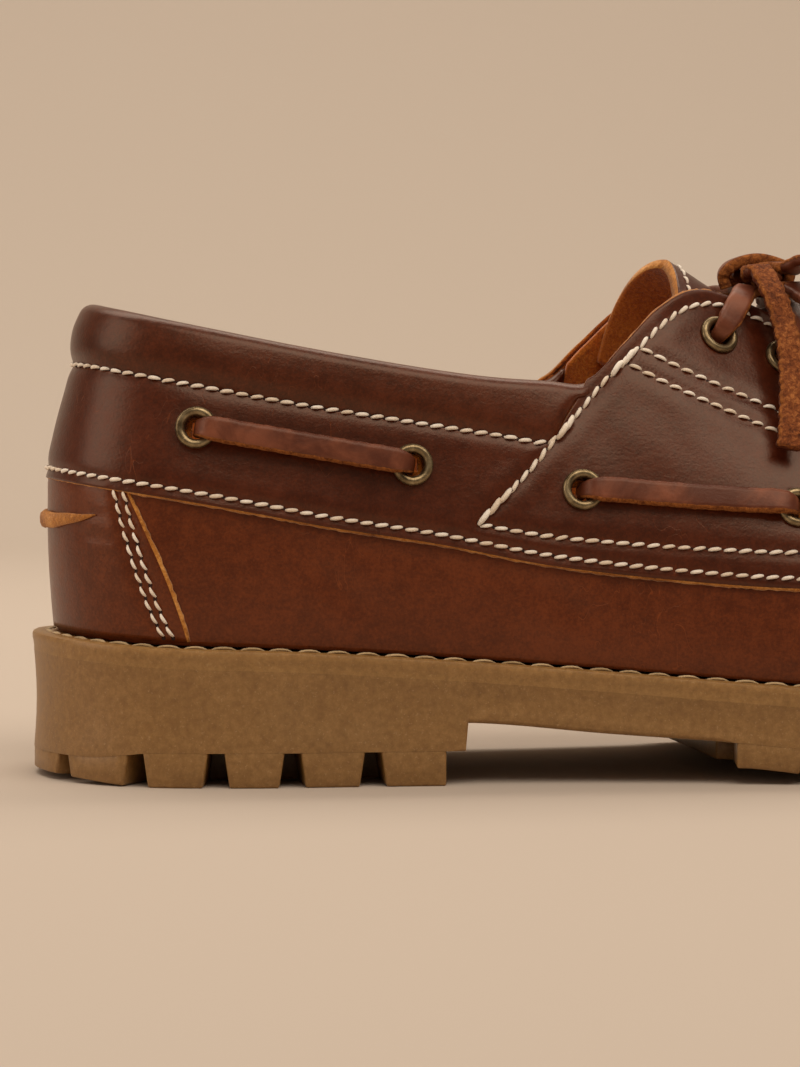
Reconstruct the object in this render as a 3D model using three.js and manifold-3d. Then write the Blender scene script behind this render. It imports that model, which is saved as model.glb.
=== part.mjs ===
// A lug-soled boat shoe: one right shoe, empty, standing on its sole.
// Millimetres, +Z up. The shoe points along +X, its left (medial) side is +Y,
// and the origin is on the floor at the middle of the sole's box.
import * as THREE from "three";
import { mergeVertices } from "three/addons/utils/BufferGeometryUtils.js";
import Module from "manifold-3d";

const wasm = await Module();
wasm.setup();

// ---------------------------------------------------------------- driving sizes
const LENGTH = 300; // sole, back of heel to tip of toe
const GAP = 0.3; // clearance between pieces that touch
const LEATHER = 2.2; // wall of the upper
const COLLAR_PAD = 2.8; // extra wall of the padded collar
const WELT = 4.2; // ledge of the sole beyond the upper
const MIDSOLE = 4; // thickness of the welt layer
const INSOLE = 2.6;
const WELD = 0.02; // corners nearer than this become one
const LACE = { width: 5, thick: 2.2, hole: { width: 3, thick: 1.6 } };
const EYELET = { flange: 4.2, barrel: 2.6, bore: 2.2, cut: 2.95, lift: 0.5, proud: 1.4 };

const v3 = (x, y, z) => new THREE.Vector3(x, y, z);
const UP = v3(0, 0, 1);

// Heights are tabled against u, the distance from the back of the heel.
const curveTable = (rows) => (u) => {
  let i = rows.findIndex(([at]) => at > u) - 1;
  if (i === -2) i = rows.length - 2;
  i = Math.max(0, i);
  const [a, b, c, d] = [-1, 0, 1, 2].map((k) => rows[Math.min(rows.length - 1, Math.max(0, i + k))]);
  const slope = (p, q) => (q[0] === p[0] ? 0 : (q[1] - p[1]) / (q[0] - p[0]));
  const span = c[0] - b[0];
  const t = THREE.MathUtils.clamp((u - b[0]) / span, 0, 1);
  const m0 = span * slope(a, c);
  const m1 = span * slope(b, d);
  const s = 1 - t;
  return b[1] * s * s * (1 + 2 * t) + c[1] * t * t * (3 - 2 * t) + m0 * t * s * s - m1 * t * t * s;
};

// Top of the sole, where the upper sits on it.
const soleTop = curveTable([
  [-5, 29.4], [19, 27.5], [49, 26.5], [82, 24.4], [108, 22.4], [147, 19.3],
  [185, 17.6], [210, 17.8], [240, 20], [270, 24.6], [305, 30.5],
]);
// What the lugs stand on: flat at heel and ball, with a spring at the toe.
const treadCurve = curveTable([
  [0, 0], [82, 0], [134, 3.3], [148, 2.1], [165, 0.6], [178, 0], [204, 0], [216, 0.35],
  [240, 2.7], [270, 7.4], [305, 14.5],
]);
const tread = (u) => Math.max(0, treadCurve(u));
// Underside of the sole between the lugs, and under the waist.
const root = curveTable([
  [0, 12.6], [82, 12.3], [110, 10], [134, 8.3], [150, 6.9], [178, 5], [204, 5],
  [216, 5.3], [240, 7.6], [270, 12.2], [305, 19],
]);
const HEEL = { length: 82.3, root: 6.3, lugEnd: 78 };
const FOREFOOT_START = 134.5;
const LUG = { pitch: 15.2, gapTop: 3, gapFoot: 5.3, depth: 14, channel: 3, overcut: 2.5 };

// ---------------------------------------------------------------- the last
// A row for each section from the back of the heel to the tip of the toe.
// foot: where the wall meets the sole; rim: where it ends, at the collar, the
// facing's edge and then the seam of the moccasin plug; belly and shoulder: how
// far the wall stands out low down and near its rim.
const LAST_COLUMNS = [
  "foot", "lateral", "medial", "rim", "rimLateral", "rimMedial", "rimHeight", "belly", "shoulder",
];
const LAST = [
  [4, 0, 0, 12, 0, 0, 95, 2.8, 9],
  [9, 17, 17, 14.6, 11, 11, 94.2, 2.9, 8],
  [21, 27.3, 27.3, 23.5, 19.8, 19.8, 92.1, 2.6, 6],
  [40, 31.8, 31, 40, 25.4, 25, 88.6, 2, 4.6],
  [62, 32.6, 30.4, 62, 27.4, 27, 84.5, 1.6, 3.8],
  [84, 33.6, 29.8, 84, 27.3, 26.6, 81.1, 1.6, 4],
  [100, 35, 30, 100, 26, 25.4, 79.9, 1.6, 5],
  [110, 36.4, 30.6, 109, 24.6, 24, 79.6, 1.6, 6],
  [119, 37.9, 31.6, 116.5, 22.9, 22.4, 86.5, 1.6, 6.6],
  [128, 39.5, 33, 124, 20, 19.6, 93.6, 1.6, 7.6],
  [137, 41.2, 34.8, 132, 16, 15.8, 97.3, 1.6, 8.6],
  [147, 43.4, 37.2, 141, 13, 13, 95.8, 1.6, 10],
  [162, 46.5, 41, 156, 11.2, 11.2, 89.4, 1.6, 11.5],
  [180, 49.2, 45.2, 170, 10.4, 10.4, 83.2, 1.5, 13],
  [196, 50.3, 47.8, 180, 11, 11, 79, 1.5, 14],
  [212, 50, 49, 197, 20.5, 20.5, 73, 1.5, 14],
  [232, 47.4, 48, 221, 25.5, 26, 64.8, 1.5, 13],
  [253, 41, 43.6, 246, 23.5, 25, 57.5, 1.4, 12],
  [272, 32.6, 37.2, 265.5, 18.6, 21, 53, 1.3, 10.5],
  [287, 20.2, 26.4, 278, 10.6, 13.6, 50.6, 1.3, 9],
  [296, -3, 3, 282.5, -1.6, 1.6, 49.8, 1.2, 8],
].map((row) => Object.fromEntries(LAST_COLUMNS.map((name, i) => [name, row[i]])));
const TOE = LAST.length - 1; // row of the toe's tip
const ROUND = 2 * TOE; // rows once round the shoe
const THROAT = 14; // row where the facings end and the plug begins
const LOW_RISE = 0.42; // height of the belly's handle in the wall
const HIGH_DROP = 0.24; // and of the shoulder's, down from the rim
const PLUG_REACH = 0.2; // how far the wall's slope carries on into the plug
const toX = (u) => u - LENGTH / 2;

// Round the shoe, a = 0 at the heel's back, TOE at the tip on the lateral side,
// and on to ROUND along the medial side.
const lastPoint = (i) => {
  const k = THREE.MathUtils.euclideanModulo(i, ROUND);
  const medial = k > TOE;
  const row = LAST[medial ? ROUND - k : k];
  const sign = medial ? 1 : -1;
  return {
    foot: v3(toX(row.foot), sign * (medial ? row.medial : row.lateral), soleTop(row.foot) + GAP),
    rim: v3(toX(row.rim), sign * (medial ? row.rimMedial : row.rimLateral), row.rimHeight),
    swell: v3(row.belly, row.shoulder, 0),
  };
};
const cubic = (p, t) => {
  const [a, b, c, d] = p;
  const term = (q, k) => q.clone().multiplyScalar(k);
  return term(a, 2 * t * t - t - t ** 3)
    .add(term(b, 2 - 5 * t * t + 3 * t ** 3))
    .add(term(c, t + 4 * t * t - 3 * t ** 3))
    .add(term(d, t ** 3 - t * t))
    .multiplyScalar(0.5);
};
const lastAt = (a, key) => {
  const i = Math.floor(a);
  return cubic([-1, 0, 1, 2].map((k) => lastPoint(i + k)[key]), a - i);
};
const outward = (a) => {
  const along = lastAt(a + 0.02, "foot").sub(lastAt(a - 0.02, "foot"));
  return v3(along.y, -along.x, 0).normalize();
};
const bezier = (p, t) => {
  const s = 1 - t;
  return v3(0, 0, 0)
    .addScaledVector(p[0], s ** 3)
    .addScaledVector(p[1], 3 * s * s * t)
    .addScaledVector(p[2], 3 * s * t * t)
    .addScaledVector(p[3], t ** 3);
};
const wallHandles = (a) => {
  const foot = lastAt(a, "foot");
  const rim = lastAt(a, "rim");
  const swell = lastAt(a, "swell");
  const out = outward(a);
  const rise = rim.z - foot.z;
  const belly = foot.clone().addScaledVector(out, swell.x).addScaledVector(UP, LOW_RISE * rise);
  const shoulder = rim.clone().addScaledVector(out, swell.y).addScaledVector(UP, -HIGH_DROP * rise);
  return [foot, belly, shoulder, rim];
};
// The upper's outer surface: v = 0 at the sole, 1 at the rim.
const wall = (a, v) => bezier(wallHandles(a), v);
// Across the plug: b is a row, w = 0 at the lateral rim, 1 at the medial one.
const plug = (b, w) => {
  const [near, far] = [wallHandles(b), wallHandles(ROUND - b)];
  const reach = PLUG_REACH * near[3].distanceTo(far[3]);
  const lean = (h) => h[3].clone().sub(h[2]).normalize().multiplyScalar(reach).add(h[3]);
  return bezier([near[3], lean(near), lean(far), far[3]], w);
};
const wallNormal = (a, v) => {
  const e = 1e-3;
  const round = wall(a + e, v).sub(wall(a - e, v));
  const rise = wall(a, v + e).sub(wall(a, v - e));
  return round.cross(rise).normalize();
};
// The place on one side's wall at distance u and height z: side -1 is lateral.
const onWall = (u, z, side) => {
  let [a, v] = [8, 0.5];
  const at = (p, q) => wall(side < 0 ? p : ROUND - p, q);
  for (let k = 0; k < 60; k += 1) {
    const here = at(a, v);
    const e = 1e-3;
    const da = at(a + e, v).sub(here).divideScalar(e);
    const dv = at(a, v + e).sub(here).divideScalar(e);
    const [ex, ez] = [toX(u) - here.x, z - here.z];
    const det = da.x * dv.z - dv.x * da.z;
    a = THREE.MathUtils.clamp(a + (0.7 * (ex * dv.z - ez * dv.x)) / det, 0.05, TOE - 0.05);
    v = THREE.MathUtils.clamp(v + (0.7 * (da.x * ez - da.z * ex)) / det, 0.01, 0.999);
  }
  const around = side < 0 ? a : ROUND - a;
  return { a: around, v, point: wall(around, v), normal: wallNormal(around, v) };
};

// ---------------------------------------------------------------- solids
const solidOf = (geometry) => {
  const g = geometry.index ? geometry.toNonIndexed() : geometry.clone();
  const bare = new THREE.BufferGeometry().setAttribute("position", g.getAttribute("position"));
  const merged = mergeVertices(bare, 1e-4);
  return new wasm.Manifold(
    new wasm.Mesh({
      numProp: 3,
      vertProperties: merged.attributes.position.array,
      triVerts: new Uint32Array(merged.index.array),
    }),
  );
};
const geometryOf = (solid) => {
  const { vertProperties, triVerts } = solid.getMesh();
  const g = new THREE.BufferGeometry();
  g.setAttribute("position", new THREE.BufferAttribute(new Float32Array(vertProperties), 3));
  g.setIndex(new THREE.BufferAttribute(new Uint32Array(triVerts), 1));
  return g.toNonIndexed();
};
const largest = (solid) =>
  solid.decompose().reduce((best, piece) => (piece.volume() > best.volume() ? piece : best));

// A sheet is a list of corners with a thickness each, and triangles on them.
const emptySheet = () => ({ corners: [], wall: [], faces: [], known: new Map() });
const corner = (sheet, p, thickness) => {
  const key = [p.x, p.y, p.z].map((c) => Math.round(c * 1e3)).join();
  if (!sheet.known.has(key)) {
    sheet.known.set(key, sheet.corners.length);
    sheet.corners.push(p.clone());
    sheet.wall.push(thickness);
  }
  return sheet.known.get(key);
};
const addGrid = (sheet, rows, columns, place, thickness) => {
  const at = rows.map((r) => columns.map((c) => corner(sheet, place(r, c), thickness(r, c))));
  for (let i = 0; i + 1 < at.length; i += 1)
    for (let j = 0; j + 1 < at[i].length; j += 1) {
      const [p, q, r, s] = [at[i][j], at[i + 1][j], at[i + 1][j + 1], at[i][j + 1]];
      for (const f of [[p, q, r], [p, r, s]])
        if (new Set(f).size === 3) sheet.faces.push(f);
    }
  return sheet;
};
// Two offset copies of the sheet, high outside and low inside, closed round the edges.
const thicken = (sheet, high, low) => {
  const normals = sheet.corners.map(() => v3(0, 0, 0));
  for (const [i, j, k] of sheet.faces) {
    const [p, q, r] = [i, j, k].map((n) => sheet.corners[n]);
    const n = q.clone().sub(p).cross(r.clone().sub(p));
    for (const c of [i, j, k]) normals[c].add(n);
  }
  normals.forEach((n) => n.normalize());
  const shift = (offset) => (i) =>
    sheet.corners[i].clone().addScaledVector(normals[i], offset(sheet.wall[i]));
  const [top, under] = [shift(high), shift(low)];
  const xyz = [];
  const face = (...points) => points.forEach((p) => xyz.push(p.x, p.y, p.z));
  const edges = new Map();
  for (const f of sheet.faces) {
    face(top(f[0]), top(f[1]), top(f[2]));
    face(under(f[0]), under(f[2]), under(f[1]));
    for (let e = 0; e < 3; e += 1) {
      const [i, j] = [f[e], f[(e + 1) % 3]];
      if (edges.has(`${j},${i}`)) edges.delete(`${j},${i}`);
      else edges.set(`${i},${j}`, [i, j]);
    }
  }
  for (const [i, j] of edges.values()) {
    face(top(j), top(i), under(i));
    face(top(j), under(i), under(j));
  }
  return new THREE.BufferGeometry().setAttribute("position", new THREE.Float32BufferAttribute(xyz, 3));
};
const steps = (from, to, count) =>
  Array.from({ length: count + 1 }, (_, i) => from + ((to - from) * i) / count);

// A strap through stations { at, facing, width, thick }, its flat side turned to facing.
const strap = (stations) => {
  const rings = stations.map(({ at, facing, width, thick }, i) => {
    const ahead = stations[Math.min(i + 1, stations.length - 1)].at;
    const along = ahead.clone().sub(stations[Math.max(i - 1, 0)].at).normalize();
    const across = facing.clone().cross(along).normalize();
    const up = along.clone().cross(across);
    return [[-1, -1], [1, -1], [1, 1], [-1, 1]].map(([s, t]) =>
      at.clone().addScaledVector(across, (s * width) / 2).addScaledVector(up, (t * thick) / 2));
  });
  const xyz = [];
  const quad = (p, q, r, s) => [p, q, r, p, r, s].forEach((c) => xyz.push(c.x, c.y, c.z));
  for (let i = 0; i + 1 < rings.length; i += 1)
    for (let k = 0; k < 4; k += 1) {
      const n = (k + 1) % 4;
      quad(rings[i][k], rings[i][n], rings[i + 1][n], rings[i + 1][k]);
    }
  const [first, last] = [rings[0], rings[rings.length - 1]];
  quad(first[3], first[2], first[1], first[0]);
  quad(last[0], last[1], last[2], last[3]);
  return new THREE.BufferGeometry().setAttribute("position", new THREE.Float32BufferAttribute(xyz, 3));
};

// ---------------------------------------------------------------- upper
const WALL_STEPS = 9;
const COLLAR_END = 7.5; // row where the padded collar stops
const smooth = THREE.MathUtils.smoothstep;
const wallThickness = (a, v) => {
  const row = Math.min(a, ROUND - a);
  return LEATHER + COLLAR_PAD * smooth(v, 0.7, 0.93) * (1 - smooth(row, COLLAR_END - 1, COLLAR_END + 1));
};
const rowsRound = [];
for (let a = 0; a < ROUND; a += 1) {
  rowsRound.push(a);
  const row = Math.min(a, ROUND - 1 - a);
  if (row < 6 || row > 13) rowsRound.push(a + 0.5);
}
rowsRound.push(ROUND);
const upperSheet = emptySheet();
addGrid(upperSheet, rowsRound, steps(0, 1, WALL_STEPS), (a, v) => wall(a % ROUND, v), wallThickness);
const plugRows = rowsRound.filter((a) => a >= THROAT && a <= TOE);
addGrid(upperSheet, plugRows, steps(0, 1, 8), plug, () => LEATHER);

// Eyelets: four along each side for the lace that circles the foot, three on each facing.
const SIDE_EYELETS = [[30, 70], [72, 62.7], [106, 57.6], [148.6, 53.8]];
const FACING_EYELETS = [[136.5, 88], [150.5, 83.3], [165, 77.4]];
const SIDES = [["lateral", -1], ["medial", 1]];
const eyeletPlaces = SIDES.flatMap(([side, sign]) => [
  ...SIDE_EYELETS.map(([u, z], i) => ({ name: `eyelet_side_${i + 1}_${side}`, ...onWall(u, z, sign) })),
  ...FACING_EYELETS.map(([u, z], i) => ({ name: `eyelet_facing_${i + 1}_${side}`, ...onWall(u, z, sign) })),
]);
const eyelet = (name) => eyeletPlaces.find((e) => e.name === name);
const standOn = ({ point, normal }) => {
  const turn = new THREE.Quaternion().setFromUnitVectors(v3(0, 1, 0), normal);
  return new THREE.Matrix4().makeRotationFromQuaternion(turn).setPosition(point);
};
const HOLE_LENGTH = 12;
const holes = eyeletPlaces.map((place) =>
  solidOf(new THREE.CylinderGeometry(EYELET.cut, EYELET.cut, HOLE_LENGTH, 10).applyMatrix4(standOn(place))));
const upperShell = solidOf(thicken(upperSheet, () => 0, (t) => -t));
const upper = holes.reduce((solid, hole) => solid.subtract(hole), upperShell);
// Everything nearer to the upper than the clearance, for cutting its neighbours.
const upperClearance = solidOf(thicken(upperSheet, () => GAP, (t) => -t - GAP));

const eyeletRing = (place) => {
  const { flange, barrel, bore, lift, proud } = EYELET;
  const depth = wallThickness(place.a, place.v) - 0.5;
  const profile = [
    [bore, -depth], [barrel, -depth], [barrel, lift], [flange, lift],
    [flange - 0.4, proud], [bore + 0.5, proud], [bore, -depth],
  ].map(([r, h]) => new THREE.Vector2(r, h));
  return new THREE.LatheGeometry(profile, 12).applyMatrix4(standOn(place));
};

// ---------------------------------------------------------------- heel counter
// An overlay outside the wall, from the sole up under the quarter's lower edge.
const COUNTER = { thick: 1.3, front: 2.45, lean: 0.85, top: 0.44 };
const counterSheet = emptySheet();
addGrid(
  counterSheet, steps(-1, 1, 16), steps(0, 1, 4),
  (s, h) => {
    const v = 0.01 + h * (COUNTER.top - 0.01);
    return wall(s * (COUNTER.front - COUNTER.lean * h), v);
  },
  () => COUNTER.thick,
);
const heelCounter = thicken(counterSheet, (t) => GAP + t, () => GAP);

// ---------------------------------------------------------------- sole
const edgePoint = (a, offset) => lastAt(a, "foot").addScaledVector(outward(a), offset);
// A solid inside the outline at an offset from the upper's foot, between two heights that follow u.
const slab = (offset, high, low) => {
  const rows = rowsRound.filter((a) => a <= TOE);
  const across = rows.map((b) => [edgePoint(b, offset), edgePoint(ROUND - b, offset)]);
  const xyz = [];
  const put = (p, height) => v3(p.x, p.y, height(p.x + LENGTH / 2));
  const face = (...points) => points.forEach((p) => xyz.push(p.x, p.y, p.z));
  const quad = (p, q, r, s) => {
    for (const [i, j, k] of [[p, q, r], [p, r, s]])
      if (i.distanceTo(j) > 1e-3 && j.distanceTo(k) > 1e-3 && k.distanceTo(i) > 1e-3) face(i, j, k);
  };
  for (let i = 0; i + 1 < across.length; i += 1) {
    const [[n0, f0], [n1, f1]] = [across[i], across[i + 1]];
    quad(put(n0, high), put(n1, high), put(f1, high), put(f0, high));
    quad(put(n0, low), put(f0, low), put(f1, low), put(n1, low));
    quad(put(n0, low), put(n1, low), put(n1, high), put(n0, high));
    quad(put(f1, low), put(f0, low), put(f0, high), put(f1, high));
  }
  const position = new THREE.Float32BufferAttribute(xyz, 3);
  return solidOf(new THREE.BufferGeometry().setAttribute("position", position));
};
const between = (from, to) => {
  const TALL = 200;
  return solidOf(new THREE.BoxGeometry(to - from, TALL, TALL).translate(toX((from + to) / 2), 0, 0));
};

// Rows that lie at even distances along one side of the sole's edge.
const edgeLength = [];
for (let a = 0, run = 0, last = null; a <= TOE + 1e-9; a += 0.05) {
  const p = edgePoint(a, WELT).setZ(0);
  run += last ? p.distanceTo(last) : 0;
  edgeLength.push([a, run]);
  last = p;
}
const rowAtLength = (length) => edgeLength.find(([, run]) => run >= length)[0];
const lengthAtU = (u) => edgeLength.find(([a]) => lastAt(a, "foot").x >= toX(u))[1];
const HEEL_GROOVES = [18, 36.8, 53, 68, 83.8];
const foreGrooves = [];
const toeLength = edgeLength[edgeLength.length - 1][1];
for (let run = lengthAtU(149); run < toeLength - LUG.gapFoot; run += LUG.pitch) foreGrooves.push(run);

const grooveProfile = new THREE.Shape(
  [[-LUG.gapFoot / 2, -2], [LUG.gapFoot / 2, -2], [LUG.gapTop / 2, 9], [-LUG.gapTop / 2, 9]]
    .map(([x, y]) => new THREE.Vector2(x, y)),
);
const groove = (length, sign) => {
  const a = rowAtLength(length);
  const around = sign < 0 ? a : ROUND - a;
  const inward = outward(around).negate();
  const start = edgePoint(around, WELT + 1).setZ(tread(edgePoint(around, WELT).x + LENGTH / 2));
  const along = UP.clone().cross(inward);
  const frame = new THREE.Matrix4().makeBasis(along, UP, inward.clone()).setPosition(start);
  if (frame.determinant() < 0) frame.makeBasis(along.negate(), UP, inward.clone()).setPosition(start);
  const depth = LUG.depth + LUG.overcut;
  const cutter = new THREE.ExtrudeGeometry(grooveProfile, { depth, bevelEnabled: false });
  return solidOf(cutter.applyMatrix4(frame));
};
const crossGroove = (u) => {
  const start = v3(toX(u), -60, tread(u));
  const frame = new THREE.Matrix4().makeBasis(v3(-1, 0, 0), UP, v3(0, 1, 0)).setPosition(start);
  return solidOf(
    new THREE.ExtrudeGeometry(grooveProfile, { depth: 120, bevelEnabled: false }).applyMatrix4(frame));
};

const bondLine = (u) => soleTop(u) - MIDSOLE;
const midsole = slab(WELT, soleTop, bondLine);
const insole = slab(-LEATHER - 0.5, (u) => soleTop(u) + GAP + INSOLE, (u) => soleTop(u) + GAP);
const base = slab(WELT, (u) => bondLine(u) - GAP, root);
const heelBlock = slab(WELT, (u) => root(u) + 1, () => HEEL.root).intersect(between(-5, HEEL.length));
const lugLayer = slab(WELT, (u) => root(u) + 0.5, tread);
const rim = slab(WELT, (u) => root(u) + 1, (u) => tread(u) - 1).subtract(
  slab(WELT - LUG.depth, (u) => root(u) + 2, (u) => tread(u) - 2));
const island = slab(WELT - LUG.depth - LUG.channel, (u) => root(u) + 1, (u) => tread(u) - 1);
const CROSS_GROOVES = [56, 160, 216, 234, 252];
const grooves = [...HEEL_GROOVES, ...foreGrooves];
const outerLugs = SIDES.reduce(
  (solid, [, sign]) => grooves.reduce((s, run) => s.subtract(groove(run, sign)), solid),
  lugLayer.intersect(rim),
);
const innerLugs = CROSS_GROOVES.reduce((s, u) => s.subtract(crossGroove(u)), lugLayer.intersect(island));
const lugged = between(-5, HEEL.lugEnd).add(between(FOREFOOT_START, LENGTH + 5));
const lugs = outerLugs.add(innerLugs).intersect(lugged);
const outsole = base.add(heelBlock).add(lugs).asOriginal().simplify(WELD);

// ---------------------------------------------------------------- tongue
// Rows from under the plug to the free end: height of its middle, half width,
// how fast it falls to the sides (per mm squared) and how far its edges trail.
const TONGUE = [
  { u: 187, z: 75.9, half: 17, fall: 0.02, trail: 0 },
  { u: 178, z: 78.8, half: 17.5, fall: 0.026, trail: 0 },
  { u: 165, z: 85, half: 18.5, fall: 0.036, trail: 0 },
  { u: 150, z: 92.6, half: 20, fall: 0.05, trail: 0 },
  { u: 139, z: 98.6, half: 21, fall: 0.053, trail: 0 },
  { u: 133, z: 101.8, half: 21.5, fall: 0.047, trail: 2 },
  { u: 128.8, z: 103.8, half: 21.5, fall: 0.042, trail: 5 },
];
const TONGUE_THICK = 2.4;
const tongueSheet = emptySheet();
addGrid(
  tongueSheet, TONGUE.map((_, i) => i), steps(1, -1, 8),
  (i, w) => {
    const { u, z, half, fall, trail } = TONGUE[i];
    const y = w * half;
    return v3(toX(u - trail * w * w), y, z - fall * y * y);
  },
  () => TONGUE_THICK,
);
const tongue = largest(solidOf(thicken(tongueSheet, () => 0, (t) => -t)).subtract(upperClearance));

// ---------------------------------------------------------------- laces
// A lace rises out of an eyelet and turns over its flange.
const LIFT = EYELET.proud + GAP + LACE.thick / 2;
const FULL = { width: LACE.width, thick: LACE.thick };
const dip = (place, towards) => {
  const { point, normal } = place;
  const along = towards.clone().sub(point);
  along.addScaledVector(normal, -along.dot(normal)).normalize();
  const back = along.clone().negate();
  const station = (out, ahead, facing, section) => ({
    at: point.clone().addScaledVector(normal, out).addScaledVector(along, ahead), facing, ...section,
  });
  return [
    station(-1.6, 0, back, LACE.hole),
    station(1.2, 0.1, back, LACE.hole),
    station(LIFT - 0.1, 1.5, back.clone().add(normal), { width: 4.2, thick: 2 }),
    station(LIFT, 4, normal, FULL),
  ];
};
const bar = (from, to, middle) =>
  strap([...dip(from, middle[0].at), ...middle, ...dip(to, middle[middle.length - 1].at).reverse()]);
const mix = (p, q, f) => p.clone().lerp(q, f);
const wallStations = (from, to, sign, lifts) =>
  lifts.map((lift, i) => {
    const p = mix(from.point, to.point, (i + 1) / (lifts.length + 1));
    const { point, normal } = onWall(p.x + LENGTH / 2, p.z, sign);
    return { at: point.addScaledVector(normal, lift), facing: normal, ...FULL };
  });
const sideBar = (side, sign, first) => {
  const [from, to] = [first, first + 1].map((i) => eyelet(`eyelet_side_${i}_${side}`));
  return bar(from, to, wallStations(from, to, sign, [LIFT, LIFT + 0.2, LIFT + 0.2, LIFT]));
};
// The facing's edge at distance u on one side.
const facingEdge = (u, sign) => {
  const rows = steps(9, THROAT, 200);
  const a = rows.reduce((best, r) =>
    (Math.abs(wall(r, 1).x - toX(u)) < Math.abs(wall(best, 1).x - toX(u)) ? r : best));
  const around = sign < 0 ? a : ROUND - a;
  return { point: wall(around, 1), normal: wallNormal(around, 1) };
};
// A lace over the tongue, from one facing's edge to the other's, through a middle point.
const overTongue = (uNear, uFar, sign, middle) => {
  const edge = (u, s) => {
    const { point, normal } = facingEdge(u, s);
    const facing = normal.clone().add(UP).normalize();
    return { at: point.addScaledVector(facing, LIFT - 0.6), facing, ...FULL };
  };
  return [edge(uNear, sign), { at: v3(toX(middle.u), 0, middle.z), facing: UP, ...FULL }, edge(uFar, -sign)];
};
const crossing = [-1, 1].map((sign) => {
  const [near, far] = sign < 0 ? ["lateral", "medial"] : ["medial", "lateral"];
  return solidOf(bar(
    eyelet(`eyelet_facing_3_${near}`), eyelet(`eyelet_facing_2_${far}`),
    overTongue(160.5, 153.5, sign, { u: 157, z: 93.2 }),
  ));
}).reduce((a, b) => a.add(b));
const topBar = bar(
  eyelet("eyelet_facing_1_lateral"), eyelet("eyelet_facing_1_medial"),
  overTongue(143, 143, -1, { u: 147.5, z: 97.6 }),
);

// The bow: knot, loops and ends, each a route of points (u, y, z) chosen by hand.
const KNOT = { u: 149.5, z: 101.6, size: [7, 7.5, 2.7] };
const BOW = {
  lace_loop_lateral: [
    [154, -8.8, 102], [156.5, -13.5, 103.8], [159.5, -20, 102.6], [162.5, -27, 97.5], [165, -33.5, 89],
    [166, -37.5, 79.5], [165.5, -39.2, 73.5], [164, -37.6, 70.5], [162.5, -33.8, 74.5], [160.5, -29, 82],
    [158.5, -23, 89.5], [156.5, -16.5, 95.5], [154.5, -10, 98.4],
  ],
  lace_end_lateral: [
    [147, -8.6, 101.4], [147.3, -12.5, 101.6], [148.3, -16.8, 98], [149.6, -20.6, 92.2], [150.1, -24.6, 85.4],
    [149.5, -28.6, 78.4], [148.4, -32.4, 71.4], [147.2, -35.2, 66],
  ],
};
const route = (points) =>
  new THREE.CatmullRomCurve3(points.map(([u, y, z]) => v3(toX(u), y, z)), false, "centripetal");
const cordSolid = (points, count) => {
  const curve = route(points);
  const stations = steps(0, 1, count).map((t) => curve.getPointAt(t));
  // a flat lace bends only flatwise, so its width stays along the shoe
  return strap(stations.map((at, i) => {
    const along = stations[Math.min(i + 1, count)].clone().sub(stations[Math.max(i - 1, 0)]).normalize();
    return { at, facing: v3(1, 0, 0).cross(along).normalize(), ...FULL };
  }));
};
const mirrored = (points) => points.map(([u, y, z]) => [u, -y, z]);
const knot = new THREE.SphereGeometry(1, 10, 8).rotateX(Math.PI / 2).scale(...KNOT.size)
  .translate(toX(KNOT.u), 0, KNOT.z);

// ---------------------------------------------------------------- assembly
const finish = {
  upperLeather: { color: 0x5a2416, roughness: 0.38 },
  laceLeather: { color: 0x4c2416, roughness: 0.6 },
  rubber: { color: 0xa96a33, roughness: 0.5 },
  lining: { color: 0xb07a48, roughness: 0.8 },
  brass: { color: 0x6f5530, roughness: 0.4, metalness: 0.9 },
};
const materials = Object.fromEntries(
  Object.entries(finish).map(([name, look]) => [name, new THREE.MeshStandardMaterial(look)]),
);
const shoe = new THREE.Group();
const add = (name, shape, material) => {
  const geometry = shape.isBufferGeometry ? shape : geometryOf(shape);
  geometry.computeVertexNormals();
  const mesh = new THREE.Mesh(geometry, materials[material]);
  mesh.name = name;
  shoe.add(mesh);
};
add("outsole", outsole, "rubber");
add("midsole", midsole, "rubber");
add("insole", insole, "lining");
add("upper", upper, "upperLeather");
add("heel_counter", heelCounter, "upperLeather");
add("tongue", tongue, "upperLeather");
for (const place of eyeletPlaces) add(place.name, eyeletRing(place), "brass");
for (const [side, sign] of SIDES) {
  add(`lace_bar_back_${side}`, sideBar(side, sign, 1), "laceLeather");
  add(`lace_bar_front_${side}`, sideBar(side, sign, 3), "laceLeather");
}
add("lace_crossing", crossing, "laceLeather");
add("lace_top", topBar, "laceLeather");
add("lace_knot", knot, "laceLeather");
for (const [name, points] of Object.entries(BOW)) {
  const count = points.length * 2;
  add(name, cordSolid(points, count), "laceLeather");
  add(name.replace("lateral", "medial"), cordSolid(mirrored(points), count), "laceLeather");
}

export default shoe;
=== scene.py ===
import math
import random

import bmesh
import bpy
import numpy as np
from mathutils import Matrix, Vector
from mathutils.kdtree import KDTree


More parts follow.
